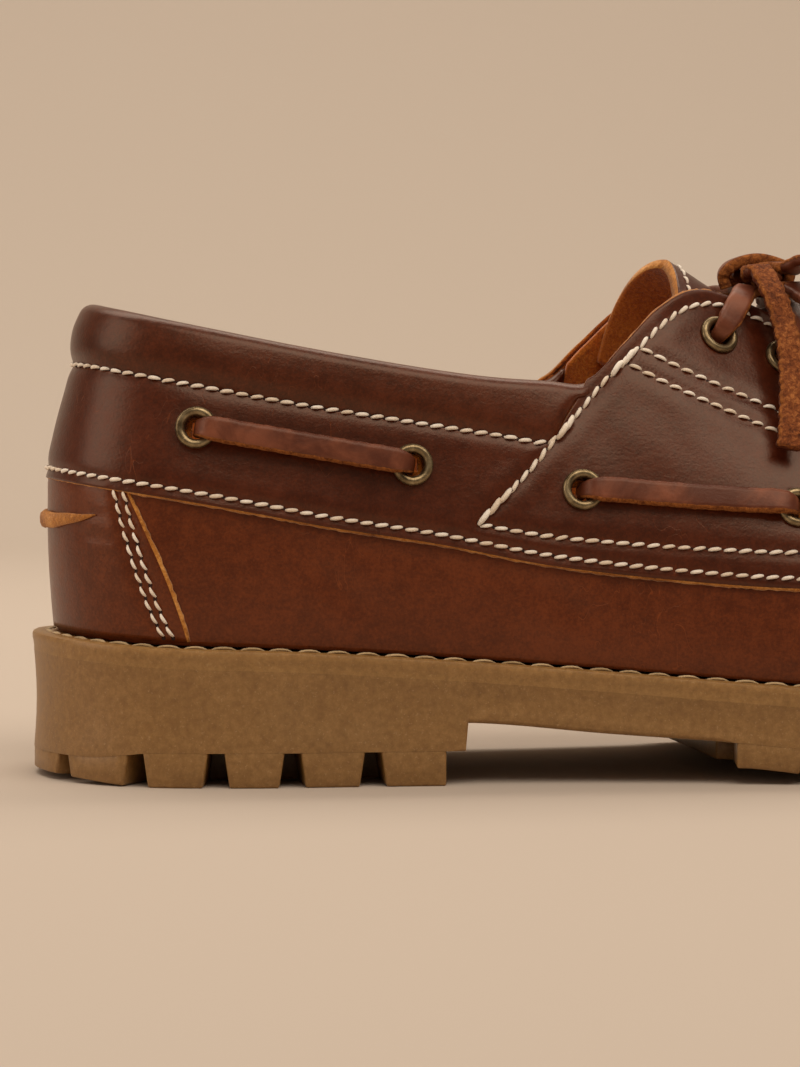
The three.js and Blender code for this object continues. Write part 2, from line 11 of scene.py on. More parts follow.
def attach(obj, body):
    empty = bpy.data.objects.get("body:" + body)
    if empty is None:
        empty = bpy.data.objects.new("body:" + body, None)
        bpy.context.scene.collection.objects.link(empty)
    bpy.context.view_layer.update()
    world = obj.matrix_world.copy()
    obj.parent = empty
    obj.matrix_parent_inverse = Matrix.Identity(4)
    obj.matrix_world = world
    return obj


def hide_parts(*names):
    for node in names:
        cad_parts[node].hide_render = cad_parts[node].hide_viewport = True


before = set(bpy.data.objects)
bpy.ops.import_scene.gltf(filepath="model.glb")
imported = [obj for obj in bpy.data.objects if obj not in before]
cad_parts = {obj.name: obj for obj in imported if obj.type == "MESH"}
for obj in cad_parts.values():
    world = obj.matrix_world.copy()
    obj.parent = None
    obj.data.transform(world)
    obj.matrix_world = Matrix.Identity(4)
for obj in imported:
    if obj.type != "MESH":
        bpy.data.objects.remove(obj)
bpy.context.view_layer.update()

random.seed(11)
MM = 0.001
LENGTH = 300  # sole, back of heel to tip of toe; shapes below are worked out in mm
WELT = 4.2  # ledge of the sole beyond the upper
MIDSOLE = 4  # thickness of the welt layer
GAP = 0.3
LACE_WIDTH = 5
LACE_THICK = 2.2


# ------------------------------------------------------------------ the last
def curve_table(rows):
    """A smooth height against u, the distance from the back of the heel."""
    at, height = np.array(rows, float).T
    slope = np.gradient(height, at)
    slope[1:-1] = (height[2:] - height[:-2]) / (at[2:] - at[:-2])

    def value(u):
        u = np.clip(u, at[0], at[-1])
        i = np.clip(np.searchsorted(at, u, "right") - 1, 0, len(at) - 2)
        span = at[i + 1] - at[i]
        t = (u - at[i]) / span
        s = 1 - t
        ends = height[i] * s * s * (1 + 2 * t) + height[i + 1] * t * t * (3 - 2 * t)
        return ends + span * (slope[i] * t * s * s - slope[i + 1] * t * t * s)

    return value


sole_top = curve_table([
    (-5, 29.4), (19, 27.5), (49, 26.5), (82, 24.4), (108, 22.4), (147, 19.3),
    (185, 17.6), (210, 17.8), (240, 20), (270, 24.6), (305, 30.5),
])
tread_curve = curve_table([
    (0, 0), (82, 0), (134, 3.3), (148, 2.1), (165, 0.6), (178, 0), (204, 0), (216, 0.35),
    (240, 2.7), (270, 7.4), (305, 14.5),
])
waist_curve = curve_table([
    (0, 12.6), (82, 12.3), (110, 10), (134, 8.3), (150, 6.9), (178, 5), (204, 5),
    (216, 5.3), (240, 7.6), (270, 12.2), (305, 19),
])
HEEL_LENGTH = 82.3
HEEL_ROOT = 6.8  # height of the grooves' roofs at the heel
HEEL_ROOT_DROP = 1.4  # how much lower they are at its very back
TREAD_RISE = 1.3  # how far the tread lifts off the ground there


def tread(u):
    return np.maximum(0, tread_curve(u)) + TREAD_RISE * (1 - smooth(2, 20, u))


def root(u):
    heel = HEEL_ROOT - HEEL_ROOT_DROP * (1 - smooth(8, 22, u))
    return np.where(u < HEEL_LENGTH, heel, waist_curve(u))


LAST_COLUMNS = (
    "foot", "lateral", "medial", "rim", "rimLateral", "rimMedial", "rimHeight", "belly", "shoulder")
LAST = [
    (4, 0, 0, 12, 0, 0, 95, 2.8, 9),
    (9, 17, 17, 14.6, 11, 11, 94.2, 2.9, 8),
    (21, 27.3, 27.3, 23.5, 19.8, 19.8, 92.1, 2.6, 6),
    (40, 31.8, 31, 40, 25.4, 25, 88.6, 2, 4.6),
    (62, 32.6, 30.4, 62, 27.4, 27, 84.5, 1.6, 3.8),
    (84, 33.6, 29.8, 84, 27.3, 26.6, 81.1, 1.6, 4),
    (100, 35, 30, 100, 26, 25.4, 79.9, 1.6, 5),
    (110, 36.4, 30.6, 109, 24.6, 24, 79.6, 1.6, 6),
    (119, 37.9, 31.6, 116.5, 22.9, 22.4, 86.5, 1.6, 6.6),
    (128, 39.5, 33, 124, 20, 19.6, 93.6, 1.6, 7.6),
    (137, 41.2, 34.8, 132, 16, 15.8, 97.3, 1.6, 8.6),
    (147, 43.4, 37.2, 141, 13, 13, 95.8, 1.6, 10),
    (162, 46.5, 41, 156, 11.2, 11.2, 89.4, 1.6, 11.5),
    (180, 49.2, 45.2, 170, 10.4, 10.4, 83.2, 1.5, 13),
    (196, 50.3, 47.8, 180, 11, 11, 79, 1.5, 14),
    (212, 50, 49, 197, 20.5, 20.5, 73, 1.5, 14),
    (232, 47.4, 48, 221, 25.5, 26, 64.8, 1.5, 13),
    (253, 41, 43.6, 246, 23.5, 25, 57.5, 1.4, 12),
    (272, 32.6, 37.2, 265.5, 18.6, 21, 53, 1.3, 10.5),
    (287, 20.2, 26.4, 278, 10.6, 13.6, 50.6, 1.3, 9),
    (296, -3, 3, 282.5, -1.6, 1.6, 49.8, 1.2, 8),
]
TOE = len(LAST) - 1
ROUND = 2 * TOE
THROAT = 14
LOW_RISE = 0.42
HIGH_DROP = 0.24
PLUG_REACH = 0.2


SIDES = ((-1, "lateral"), (1, "medial"))


def to_x(u):
    return u - LENGTH / 2


def to_u(x):
    return x + LENGTH / 2


def last_row(i):
    medial = i > TOE
    row = dict(zip(LAST_COLUMNS, LAST[ROUND - i if medial else i]))
    sign = 1 if medial else -1
    side = "medial" if medial else "lateral"
    rim_side = "rimMedial" if medial else "rimLateral"
    foot = (to_x(row["foot"]), sign * row[side], float(sole_top(row["foot"])) + GAP)
    rim = (to_x(row["rim"]), sign * row[rim_side], row["rimHeight"])
    return foot + rim + (row["belly"], row["shoulder"])


LAST_POINTS = np.array([last_row(i) for i in range(ROUND)])


def last_at(a):
    """Foot, rim and swell at a, in rows from the heel's back, positive on the lateral side."""
    a = np.asarray(a, float)
    i = np.floor(a).astype(int)
    t = (a - i)[..., None]
    p, q, r, s = (LAST_POINTS[(i + k) % ROUND] for k in (-1, 0, 1, 2))
    cubic = 3 * q - p - 3 * r + s
    return 0.5 * (2 * q + (r - p) * t + (2 * p - 5 * q + 4 * r - s) * t * t + cubic * t ** 3)


def unit(v):
    return v / np.maximum(np.linalg.norm(v, axis=-1, keepdims=True), 1e-12)


def facing_up(v):
    return np.where((v[:, 2] < 0)[:, None], -v, v)


def steps_along(line):
    return np.linalg.norm(np.diff(line, axis=0), axis=1)


def run_along(line):
    """How far along the line each of its points is."""
    return np.concatenate([[0], np.cumsum(steps_along(line))])


def sampled(at, run, rows):
    """The columns of rows, which are known at run, read off at at."""
    return np.stack([np.interp(at, run, column) for column in rows.T], -1)


def outward(a):
    along = last_at(np.asarray(a) + 0.02)[..., :3] - last_at(np.asarray(a) - 0.02)[..., :3]
    return unit(np.stack([along[..., 1], -along[..., 0], 0 * along[..., 0]], -1))


UP = np.array([0, 0, 1.0])


def handles(a):
    """The four points that shape the wall at row a, from its foot to its rim."""
    row = last_at(a)
    foot, rim = row[..., :3], row[..., 3:6]
    out = outward(a)
    rise = (rim[..., 2] - foot[..., 2])[..., None]
    belly = foot + out * row[..., 6:7] + UP * LOW_RISE * rise
    shoulder = rim + out * row[..., 7:8] - UP * HIGH_DROP * rise
    return foot, belly, shoulder, rim


def bezier(points, t):
    p, q, r, s = points
    t = np.asarray(t, float)[..., None]
    w = 1 - t
    return p * w ** 3 + 3 * q * w * w * t + 3 * r * w * t * t + s * t ** 3


def wall(a, v):
    """A point of the upper's outside at row a, from its foot at v = 0 to its rim at v = 1."""
    return bezier(handles(a), v)


def wall_normal(a, v):
    e = 1e-3
    along = wall(a + e, v) - wall(a - e, v)
    rise = wall(a, v + e) - wall(a, v - e)
    return unit(np.cross(along, rise))


def plug(b, w):
    """A point of the top of the toe at row b, from its lateral rim at w = 0 to its medial rim."""
    near, far = handles(b), handles(ROUND - b)
    reach = PLUG_REACH * np.linalg.norm(near[3] - far[3], axis=-1, keepdims=True)
    lean_near = near[3] + unit(near[3] - near[2]) * reach
    lean_far = far[3] + unit(far[3] - far[2]) * reach
    return bezier((near[3], lean_near, lean_far, far[3]), w)


def plug_normal(b, w):
    e = 1e-3
    ahead = plug(np.minimum(b + e, TOE), w) - plug(b - e, w)
    across = plug(b, w + e) - plug(b, w - e)
    return unit(np.cross(ahead, across))


def height_on_wall(a, level):
    """How far up the wall, 0 to 1, the line z = level(u) runs at each a."""
    low, high = np.zeros_like(a, float), np.ones_like(a, float)
    for _ in range(24):
        mid = (low + high) / 2
        p = wall(a, mid)
        under = p[..., 2] < level(to_u(p[..., 0]))
        low, high = np.where(under, mid, low), np.where(under, high, mid)
    return (low + high) / 2


def on_wall(u, z, side):
    """Rows and heights on the wall at distance u and height z; side -1 is lateral."""
    u, z = np.asarray(u, float), np.asarray(z, float)
    a, v = np.interp(u, [row[0] for row in LAST], range(len(LAST))), np.full_like(u, 0.4)
    e = 1e-3
    for _ in range(60):
        here = wall(-side * a, v)
        da = (wall(-side * (a + e), v) - here) / e
        dv = (wall(-side * a, v + e) - here) / e
        ex, ez = to_x(u) - here[..., 0], z - here[..., 2]
        det = da[..., 0] * dv[..., 2] - dv[..., 0] * da[..., 2]
        step = 0.7 * (ex * dv[..., 2] - ez * dv[..., 0]) / det
        rise = 0.7 * (da[..., 0] * ez - da[..., 2] * ex) / det
        a = np.clip(a + np.clip(step, -0.3, 0.3), 0.05, TOE - 0.05)
        v = np.clip(v + np.clip(rise, -0.1, 0.1), 0.01, 0.999)
    return -side * a, v


# signed length along the foot of the wall, for even spacing
SPAN_ROWS = np.linspace(-TOE, TOE, 1601)
SPAN_LENGTHS = run_along(last_at(SPAN_ROWS)[:, :2])
SPAN_LENGTHS -= np.interp(0, SPAN_ROWS, SPAN_LENGTHS)


def row_at(length):
    return np.interp(length, SPAN_LENGTHS, SPAN_ROWS)


def length_at(row):
    return np.interp(row, SPAN_ROWS, SPAN_LENGTHS)


def even_rows(first, last, count):
    return row_at(np.linspace(length_at(first), length_at(last), count))


def edge_point(a, offset):
    """A point out from the foot of the wall at row a, by offset in mm."""
    return last_at(a)[..., :3] + outward(a) * np.asarray(offset, float)[..., None]


def smooth(low, high, x):
    t = np.clip((x - low) / (high - low), 0, 1)
    return t * t * (3 - 2 * t)


def bell(x, middle, width):
    return np.exp(-(((x - middle) / width) ** 2))


def at_heel(a):
    """1 at the back of the heel, falling to 0 round its sides."""
    return 1 - smooth(1.6, 5, np.abs(a))


# ------------------------------------------------------------------ panel lines
main_seam = curve_table([
    (0, 62.2), (12, 60.3), (27, 57.9), (41.5, 55.3), (55, 52.7), (77, 49.2), (99, 44.9), (122, 42.1),
    (148, 40.2), (165, 40.8), (178, 44.6), (187, 52), (191.5, 62), (192.5, 72), (193, 90),
])
collar_seam = curve_table([
    (0, 83.4), (8, 82.6), (17.5, 80.9), (30.5, 78.4), (50.2, 74.7), (70.2, 71.5), (90.5, 68.4), (101, 67.2),
    (103, 71), (108.4, 79.6), (112, 90), (125, 140),
])
QUARTER_EDGE = 2.0  # raw edge below the main seam


def quarter_edge(u):
    forward = smooth(165, 188, u)
    return main_seam(u + QUARTER_EDGE * forward) - QUARTER_EDGE * (1 - forward)


# ------------------------------------------------------------------ meshes
def link(name, bm):
    for face in bm.faces:
        face.smooth = True
    mesh = bpy.data.meshes.new(name)
    bm.to_mesh(mesh)
    bm.free()
    piece = bpy.data.objects.new(name, mesh)
    bpy.context.scene.collection.objects.link(piece)
    return piece


def joined_up(rings):
    """The same rings, each with its first point again at its end."""
    return np.concatenate([rings, rings[:, :1]], 1)


def skin(name, points, closed=False, flip=False, fields=None, crease=None, punched=(), raw=(0, 0)):
    """A sheet of quads through points[i, j], in mm, with its UV from 0 to 1 and round holes punched.

    Where it is closed, each points[i] is a ring, and both ends are filled. Raw counts the bands of
    faces at its low and high edges that show the cut edge of the leather."""
    fields = fields or {}
    if closed:
        points = joined_up(points)
        fields = {key: joined_up(values) for key, values in fields.items()}
    rows, columns = points.shape[:2]
    bm = bmesh.new()
    bm.loops.layers.uv.new("UVMap")
    bmesh.ops.create_grid(bm, x_segments=rows - 1, y_segments=columns - 1, size=0.5, calc_uvs=True)
    layers = {key: bm.verts.layers.float.new(key) for key in fields}
    for face in bm.faces:
        band = (face.calc_center_median().y + 0.5) * (columns - 1)
        face.material_index = int(band < raw[0] or band > columns - 1 - raw[1])
    flat = points * MM
    for v in bm.verts:
        i, j = round((v.co.x + 0.5) * (rows - 1)), round((v.co.y + 0.5) * (columns - 1))
        v.co = flat[i, j]
        for key, layer in layers.items():
            v[layer] = float(fields[key][i, j])
    bmesh.ops.remove_doubles(bm, verts=bm.verts, dist=1e-6)
    if punched:
        holes = [(Vector(centre) * MM, radius * MM) for centre, radius in punched]
        cut = [f for f in bm.faces if any((f.calc_center_median() - c).length < r for c, r in holes)]
        bmesh.ops.delete(bm, geom=cut, context="FACES")
    if closed:
        bmesh.ops.holes_fill(bm, edges=[e for e in bm.edges if e.is_boundary])
        bmesh.ops.recalc_face_normals(bm, faces=bm.faces)
    elif flip:
        bmesh.ops.reverse_faces(bm, faces=bm.faces)
    piece = link(name, bm)
    if crease:
        piece.data.set_sharp_from_angle(angle=math.radians(crease))
    return piece


def copies(name, template, places, tints=None):
    """Many copies of a small bmesh, one for each 4 by 4 matrix, joined in one piece."""
    pattern = bpy.data.meshes.new(name)
    template.to_mesh(pattern)
    template.free()
    bm = bmesh.new()
    for place in places:
        one = pattern.copy()
        one.transform(place)
        bm.from_mesh(one)
        bpy.data.meshes.remove(one)
    count = len(pattern.vertices)
    bpy.data.meshes.remove(pattern)
    piece = link(name, bm)
    if tints is not None:
        layer = piece.data.attributes.new("tint", "FLOAT", "POINT")
        layer.data.foreach_set("value", np.repeat(tints, count).astype(np.float32))
    return piece


def join(name, parts):
    bm = bmesh.new()
    for part in parts:
        bm.from_mesh(part.data)
        bpy.data.objects.remove(part)
    return link(name, bm)


def thicken(piece, thickness, rim=0, inner=0):
    solid = piece.modifiers.new("wall", "SOLIDIFY")
    solid.thickness = thickness * MM
    solid.offset = -1
    solid.use_even_offset = False
    solid.material_offset = inner
    solid.material_offset_rim = rim


def finish(piece, materials, replaces=()):
    for material in materials:
        piece.data.materials.append(material)
    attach(piece, "root")
    if replaces:
        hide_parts(*replaces)


# ------------------------------------------------------------------ shaders
class Field:
    """A shader value that can be used in arithmetic."""

    def __init__(self, shader, socket):
        self.shader, self.socket = shader, socket

    def math(self, operation, *others):
        inputs = dict(enumerate((self, *others)))
        return self.shader.node("Math", {"operation": operation}, inputs)

    def __add__(self, other):
        return self.math("ADD", other)

    def __mul__(self, other):
        return self.math("MULTIPLY", other)

    def __sub__(self, other):
        return self.math("SUBTRACT", other)

    def __rsub__(self, other):
        return (self * -1) + other

    __radd__ = __add__
    __rmul__ = __mul__

    def ramp(self, low, high, out_low=0.0, out_high=1.0):
        settings = {"interpolation_type": "SMOOTHSTEP"}
        return self.shader.node("MapRange", settings, {0: self, 1: low, 2: high, 3: out_low, 4: out_high})


class Shader:
    """A material built node by node round one Principled shader."""

    def __init__(self, name, **fixed):
        self.material = bpy.data.materials.new(name)
        self.material.use_nodes = True
        self.tree = self.material.node_tree
        self.main = self.tree.nodes["Principled BSDF"]
        for key, value in fixed.items():
            self.main.inputs[key.replace("_", " ")].default_value = value

    def node(self, kind, settings=None, inputs=None, out=0):
        node = self.tree.nodes.new("ShaderNode" + kind)
        for key, value in (settings or {}).items():
            if key == "stops":
                ramp = node.color_ramp.elements
                while len(ramp) < len(value):
                    ramp.new(0.5)
                for stop, (at, colour) in zip(ramp, value):
                    stop.position, stop.color = at, (*colour, 1)
            else:
                setattr(node, key, value)
        for key, value in (inputs or {}).items():
            if isinstance(value, Field):
                self.tree.links.new(value.socket, node.inputs[key])
            else:
                node.inputs[key].default_value = value
        return Field(self, node.outputs[out])

    def place(self):
        return self.node("TexCoord", out="Object")

    def uv(self):
        return self.node("UVMap", {"uv_map": "UVMap"})

    def attribute(self, name):
        return self.node("Attribute", {"attribute_name": name}, out="Fac")

    def stretch(self, vector, scale, turn=(0, 0, 0)):
        return self.node("Mapping", {}, {"Vector": vector, "Scale": scale, "Rotation": turn})

    def noise(self, vector, scale, detail=3.0, rough=0.5, warp=0.0):
        inputs = {"Vector": vector, "Scale": scale, "Detail": detail}
        return self.node("TexNoise", {}, {**inputs, "Roughness": rough, "Distortion": warp})

    def cells(self, vector, scale):
        return self.node("TexVoronoi", {}, {"Vector": vector, "Scale": scale})

    def colours(self, value, *stops):
        return self.node("ValToRGB", {"stops": stops}, {"Fac": value})

    def mix(self, factor, low, high):
        low = low if isinstance(low, Field) else (*low, 1)
        high = high if isinstance(high, Field) else (*high, 1)
        return self.node("Mix", {"data_type": "RGBA"}, {0: factor, 6: low, 7: high}, out=2)

    def finish(self, colour, rough, bumps=(), **more):
        """bumps are (height, depth in mm) pairs, laid over each other."""
        self.tree.links.new(colour.socket, self.main.inputs["Base Color"])
        if isinstance(rough, Field):
            self.tree.links.new(rough.socket, self.main.inputs["Roughness"])
        else:
            self.main.inputs["Roughness"].default_value = rough
        for key, value in more.items():
            self.tree.links.new(value.socket, self.main.inputs[key.replace("_", " ")])
        below = None
        for height, depth in bumps:
            inputs = {"Height": height, "Distance": depth * MM, "Strength": 1.0}
            if below:
                inputs["Normal"] = below
            below = self.node("Bump", {}, inputs)
        if below:
            self.tree.links.new(below.socket, self.main.inputs["Normal"])
        return self.material


def rgb(*levels):
    """A colour by its 8-bit display values."""
    return tuple(((c / 255 + 0.055) / 1.055) ** 2.4 if c > 10 else c / 3295 for c in levels)


def pull_up_leather(name, deep, lit, worn):
    """Waxed leather: mottled, glossy, paler and more orange where it is bent or pulled."""
    s = Shader(name, Coat_Roughness=0.24, Coat_IOR=1.45, Specular_IOR_Level=0.42,
               Specular_Tint=(1, 0.76, 0.56, 1))
    at = s.place()
    cloud = s.noise(at, 30, 4, 0.6, 0.3)
    fine = s.noise(at, 330, 4, 0.65)
    speck = s.noise(at, 1600, 2, 0.6)
    bent = s.attribute("wear")
    tone = (cloud * 0.3 + fine * 0.35 + speck * 0.35).ramp(0.35, 0.65)
    base = s.mix(tone, deep, lit)
    rub = s.noise(at, 70, 4, 0.65, 0.4)
    pale = (bent * 0.5 + rub * 0.5 - 0.3).ramp(0.2, 1.0)
    base = s.mix(pale * 0.7, base, worn)
    hairs = s.noise(s.stretch(at, (1.0, 1.0, 0.35), (0.4, 0.7, 0.2)), 210, 1, 0.4, 1.2)
    hair = (hairs - 0.5).math("ABSOLUTE").ramp(0.0, 0.006, 1.0, 0.0)
    scratch = hair * s.noise(at, 48, 2).ramp(0.56, 0.64)
    base = s.mix(scratch * 0.25, base, worn)
    pebble = s.cells(at, 1700)
    folds = s.noise(s.stretch(at, (1.0, 1.0, 1.8)), 420, 4, 0.6, 0.8)
    rough = 0.33 + (fine - 0.5) * 0.2 + (cloud - 0.5) * 0.08 + pale * 0.1
    coat = s.node("MapRange", {}, {0: cloud, 1: 0.3, 2: 0.7, 3: 0.1, 4: 0.19})
    return s.finish(base, rough, ((folds, 0.06), (pebble, 0.018), (scratch, -0.02)), Coat_Weight=coat)


def raw_edge():
    s = Shader("raw_leather_edge", Specular_IOR_Level=0.2, Sheen_Weight=0.2)
    at = s.place()
    fibre = s.noise(at, 1400, 4, 0.7)
    patch = s.noise(at, 160, 3, 0.6)
    colour = s.colours((fibre * 0.5 + patch * 0.5), (0.32, rgb(116, 64, 20)), (0.5, rgb(186, 120, 48)),
                       (0.68, rgb(232, 170, 94)))
    return s.finish(colour, 0.85, ((fibre, 0.35),))


def suede(name, dark, mid, light, size=1500):
    s = Shader(name, Specular_IOR_Level=0.15, Sheen_Weight=0.35, Sheen_Roughness=0.5)
    at = s.place()
    nap = s.noise(at, size, 5, 0.75, 0.4)
    patch = s.noise(at, 75, 4, 0.6, 0.5)
    tone = nap * 0.55 + patch * 0.45
    colour = s.colours(tone, (0.34, dark), (0.5, mid), (0.66, light))
    return s.finish(colour, 0.92, ((nap, 0.3), (patch, 0.25)))


def gum_rubber(name, dark, mid, light):
    """Smooth crepe-coloured rubber with a faint cloudy fleck."""
    s = Shader(name, Specular_IOR_Level=0.42, Subsurface_Weight=0.1, Subsurface_Scale=0.003,
               Coat_Weight=0.05, Coat_Roughness=0.3)
    s.main.inputs["Subsurface Radius"].default_value = (1.0, 0.55, 0.22)
    at = s.place()
    cloud = s.noise(at, 60, 4, 0.6, 0.3)
    flake = s.noise(at, 650, 3, 0.75)
    dust = s.noise(at, 22, 3, 0.6).ramp(0.5, 0.75)
    base = s.colours(cloud * 0.25 + flake * 0.75, (0.3, dark), (0.5, mid), (0.7, light))
    base = s.mix(dust * 0.1, base, rgb(176, 150, 112))
    grain = s.noise(at, 2000, 2, 0.6)
    base = s.mix(grain.ramp(0.62, 0.72) * 0.25, base, rgb(196, 168, 126))
    return s.finish(base, 0.42 + (flake - 0.5) * 0.2, ((flake, 0.05), (grain, 0.02)))


def aged_brass():
    s = Shader("aged_brass", Metallic=0.9)
    at = s.place()
    patina = s.noise(at, 420, 4, 0.6, 0.3)
    colour = s.colours(patina, (0.32, rgb(90, 76, 54)), (0.5, rgb(132, 114, 84)), (0.7, rgb(168, 150, 116)))
    return s.finish(colour, 0.24 + patina * 0.2, ((patina, 0.03),))


def thread(name, dark, light):
    s = Shader(name, Specular_IOR_Level=0.3, Sheen_Weight=0.3)
    at = s.place()
    fibre = s.noise(at, 2600, 3, 0.65)
    dirt = s.noise(at, 300, 3, 0.6)
    tint = s.attribute("tint")
    colour = s.mix((fibre * 0.5 + dirt * 0.35 + tint * 0.3).ramp(0.3, 0.8), dark, light)
    return s.finish(colour, 0.72, ((fibre, 0.1),))


def lace_leather():
    """Grain outside, suede inside and bare edges, by the place round the lace."""
    s = Shader("lace_leather", Specular_IOR_Level=0.42, Specular_Tint=(1, 0.84, 0.7, 1))
    at = s.place()
    side = s.node("SeparateXYZ", {}, {0: s.uv()}, out="Y")
    fibre = s.noise(at, 1050, 5, 0.75, 0.6)
    patch = s.noise(at, 110, 4, 0.6, 0.4)
    grain = s.mix(patch.ramp(0.35, 0.7), rgb(84, 38, 22), rgb(132, 74, 50))
    flesh = s.colours(fibre * 0.75 + patch * 0.25, (0.36, rgb(70, 29, 10)), (0.5, rgb(130, 68, 30)),
                      (0.64, rgb(188, 118, 62)))
    bare = s.colours(fibre, (0.35, rgb(98, 46, 16)), (0.65, rgb(176, 106, 48)))
    # round the lace: grain up to 0.44, over most of one edge, flesh from 0.5 to 0.86, the other edge
    ragged = side + (fibre - 0.5) * 0.04
    on_grain = ragged.ramp(0.43, 0.45, 1.0, 0.0)
    on_flesh = ragged.ramp(0.49, 0.51) * ragged.ramp(0.85, 0.865, 1.0, 0.0)
    colour = s.mix(on_grain, s.mix(on_flesh, bare, flesh), grain)
    rough = 0.88 - on_grain * 0.46
    return s.finish(colour, rough, ((fibre * (1.1 - on_grain), 0.45), (patch, 0.2)))


def plain_paper(name, colour):
    s = Shader(name, Specular_IOR_Level=0.1)
    tone = s.noise(s.place(), 3.0, 2)
    base = s.mix(tone, tuple(c * 0.985 for c in colour), colour)
    return s.finish(base, 0.95)


UPPER = pull_up_leather("waxed_leather", rgb(60, 20, 6), rgb(84, 32, 11), rgb(156, 76, 30))
VAMP = pull_up_leather("waxed_leather_vamp", rgb(80, 31, 10), rgb(110, 49, 18), rgb(170, 86, 38))
COLLAR = pull_up_leather("soft_collar_leather", rgb(60, 22, 7), rgb(88, 36, 14), rgb(150, 76, 36))
EDGE = raw_edge()
SUEDE = suede("lining_suede", rgb(120, 54, 8), rgb(186, 98, 22), rgb(226, 142, 48))
INSOLE_SUEDE = suede("insole_leather", rgb(140, 88, 44), rgb(184, 128, 72), rgb(214, 160, 100), 700)
RUBBER = gum_rubber("gum_rubber", rgb(124, 90, 50), rgb(141, 105, 60), rgb(158, 120, 72))
RUBBER_TOP = gum_rubber("gum_rubber_welt", rgb(132, 97, 54), rgb(149, 112, 64), rgb(166, 127, 76))
BRASS = aged_brass()
THREAD = thread("cream_thread", rgb(228, 208, 182), rgb(255, 247, 234))
WELT_THREAD = thread("welt_thread", rgb(160, 134, 92), rgb(206, 178, 134))
LACE = lace_leather()
# painted shade: a dark colour for flat discs that stand in for the shadow inside each needle hole
NEEDLE_HOLE_SHADE = suede("needle_hole_shade", rgb(32, 12, 6), rgb(44, 18, 9), rgb(60, 28, 15))


# ------------------------------------------------------------------ camera and stage
def camera():
    lens = bpy.data.cameras.new("camera")
    lens.sensor_width = 36
    lens.lens = 123.9
    lens.clip_end = 20
    eye = bpy.data.objects.new("camera", lens)
    bpy.context.scene.collection.objects.link(eye)
    eye.location = (to_x(-43) * MM, -0.743, 0.081)
    eye.rotation_euler = (math.radians(90 - 2.52), 0, math.radians(-9))
    bpy.context.scene.camera = eye


def stage():
    paper = plain_paper("backdrop_paper", rgb(199, 187, 174))
    run = np.concatenate([np.linspace(-3, 0.9, 12), np.linspace(0.95, 1.5, 14)])
    height = np.where(run > 0.95, (run - 0.95) ** 2 * 1.2, 0)
    profile = [*zip(run, height), (1.75, 1.0), (1.9, 2.0), (2.0, 3.5)]
    sweep = np.array([[(x, y, z) for y, z in profile] for x in np.linspace(-4, 4, 9)]) / MM
    floor = skin("backdrop", sweep)
    floor.data.materials.append(paper)


def lamp(name, at, target, size, power, colour=(1, 0.87, 0.74)):
    light = bpy.data.lights.new(name, "AREA")
    light.shape = "RECTANGLE"
    light.size, light.size_y = size
    light.energy = power
    light.color = colour
    holder = bpy.data.objects.new(name, light)
    bpy.context.scene.collection.objects.link(holder)
    holder.location = at
    holder.rotation_euler = (Vector(target) - Vector(at)).to_track_quat("-Z", "Y").to_euler()


def lights():
    world = bpy.data.worlds.new("studio")
    world.use_nodes = True
    world.node_tree.nodes["Background"].inputs["Color"].default_value = (1.0, 0.86, 0.72, 1)
    world.node_tree.nodes["Background"].inputs["Strength"].default_value = 0.2
    bpy.context.scene.world = world
    lamp("front_softbox", (0.15, -0.75, 1.15), (0, 0, 0.02), (1.5, 0.8), 11.8)
    lamp("rear_softbox", (-0.05, 0.55, 1.1), (0, 0, 0.02), (1.6, 0.6), 7.2)
    lamp("left_window", (-1.25, -0.1, 0.55), (0, 0, 0.05), (0.7, 0.9), 3.8, (1.0, 0.82, 0.68))
    lamp("wall_wash", (0, 0.5, 1.6), (0, 2.0, 0.45), (3.0, 0.8), 17.5)
    bpy.context.scene.view_settings.view_transform = "Standard"


camera()
stage()
lights()


# ------------------------------------------------------------------ seams
def lifted(a, v, lift):
    """A point lift mm off the wall."""
    a, v = np.asarray(a, float), np.asarray(v, float)
    return wall(a, v) + wall_normal(a, v) * np.asarray(lift, float)[..., None]


def on_curve(points):
    """A smooth line through points, in short steps."""
    p = np.array(points, float)
    p = np.vstack([2 * p[0] - p[1], p, 2 * p[-1] - p[-2]])
    t = np.linspace(0, len(points) - 1 - 1e-9, 24 * len(points))
    i = t.astype(int)
    t = (t - i)[:, None]
    a, b, c, d = p[i], p[i + 1], p[i + 2], p[i + 3]
    square, cube = 2 * a - 5 * b + 4 * c - d, 3 * b - a - 3 * c + d
    return 0.5 * (2 * b + (c - a) * t + square * t * t + cube * t ** 3)


def even(line, count, *others):
    """The same line at count evenly spaced points, with any other rows that go with it."""
    run = run_along(line)
    at = np.linspace(0, run[-1], count)
    made = [sampled(at, run, rows) for rows in (line, *others)]
    return made if others else made[0]


def down_from_rim(a, distance):
    """Height on the wall, 0 to 1, at a distance in mm below its rim."""
    a = np.asarray(a, float)
    v = np.linspace(1, 0.3, 60)
    line = wall(a[..., None], v)
    steps = np.linalg.norm(np.diff(line, axis=-2), axis=-1)
    run = np.concatenate([np.zeros(a.shape + (1,)), np.cumsum(steps, -1)], -1)
    flat_run = run.reshape(-1, len(v))
    wanted = np.broadcast_to(distance, a.shape).reshape(-1)
    return np.array([np.interp(d, r, v) for d, r in zip(wanted, flat_run)]).reshape(a.shape)


def spot(u, z, side, lift):
    """A point lifted off the wall at distance u and height z, and the way out of the wall there."""
    a, v = on_wall(np.array([u]), np.array([z]), side)
    return lifted(a, v, [lift])[0], wall_normal(a, v)[0]


STITCH = 2.6  # length of one stitch
PITCH = 3.0  # from one needle hole to the next
WELT_PITCH = 5.7
MOC_PITCH = 4.5
seams = []  # each: points, normals, size of its stitches


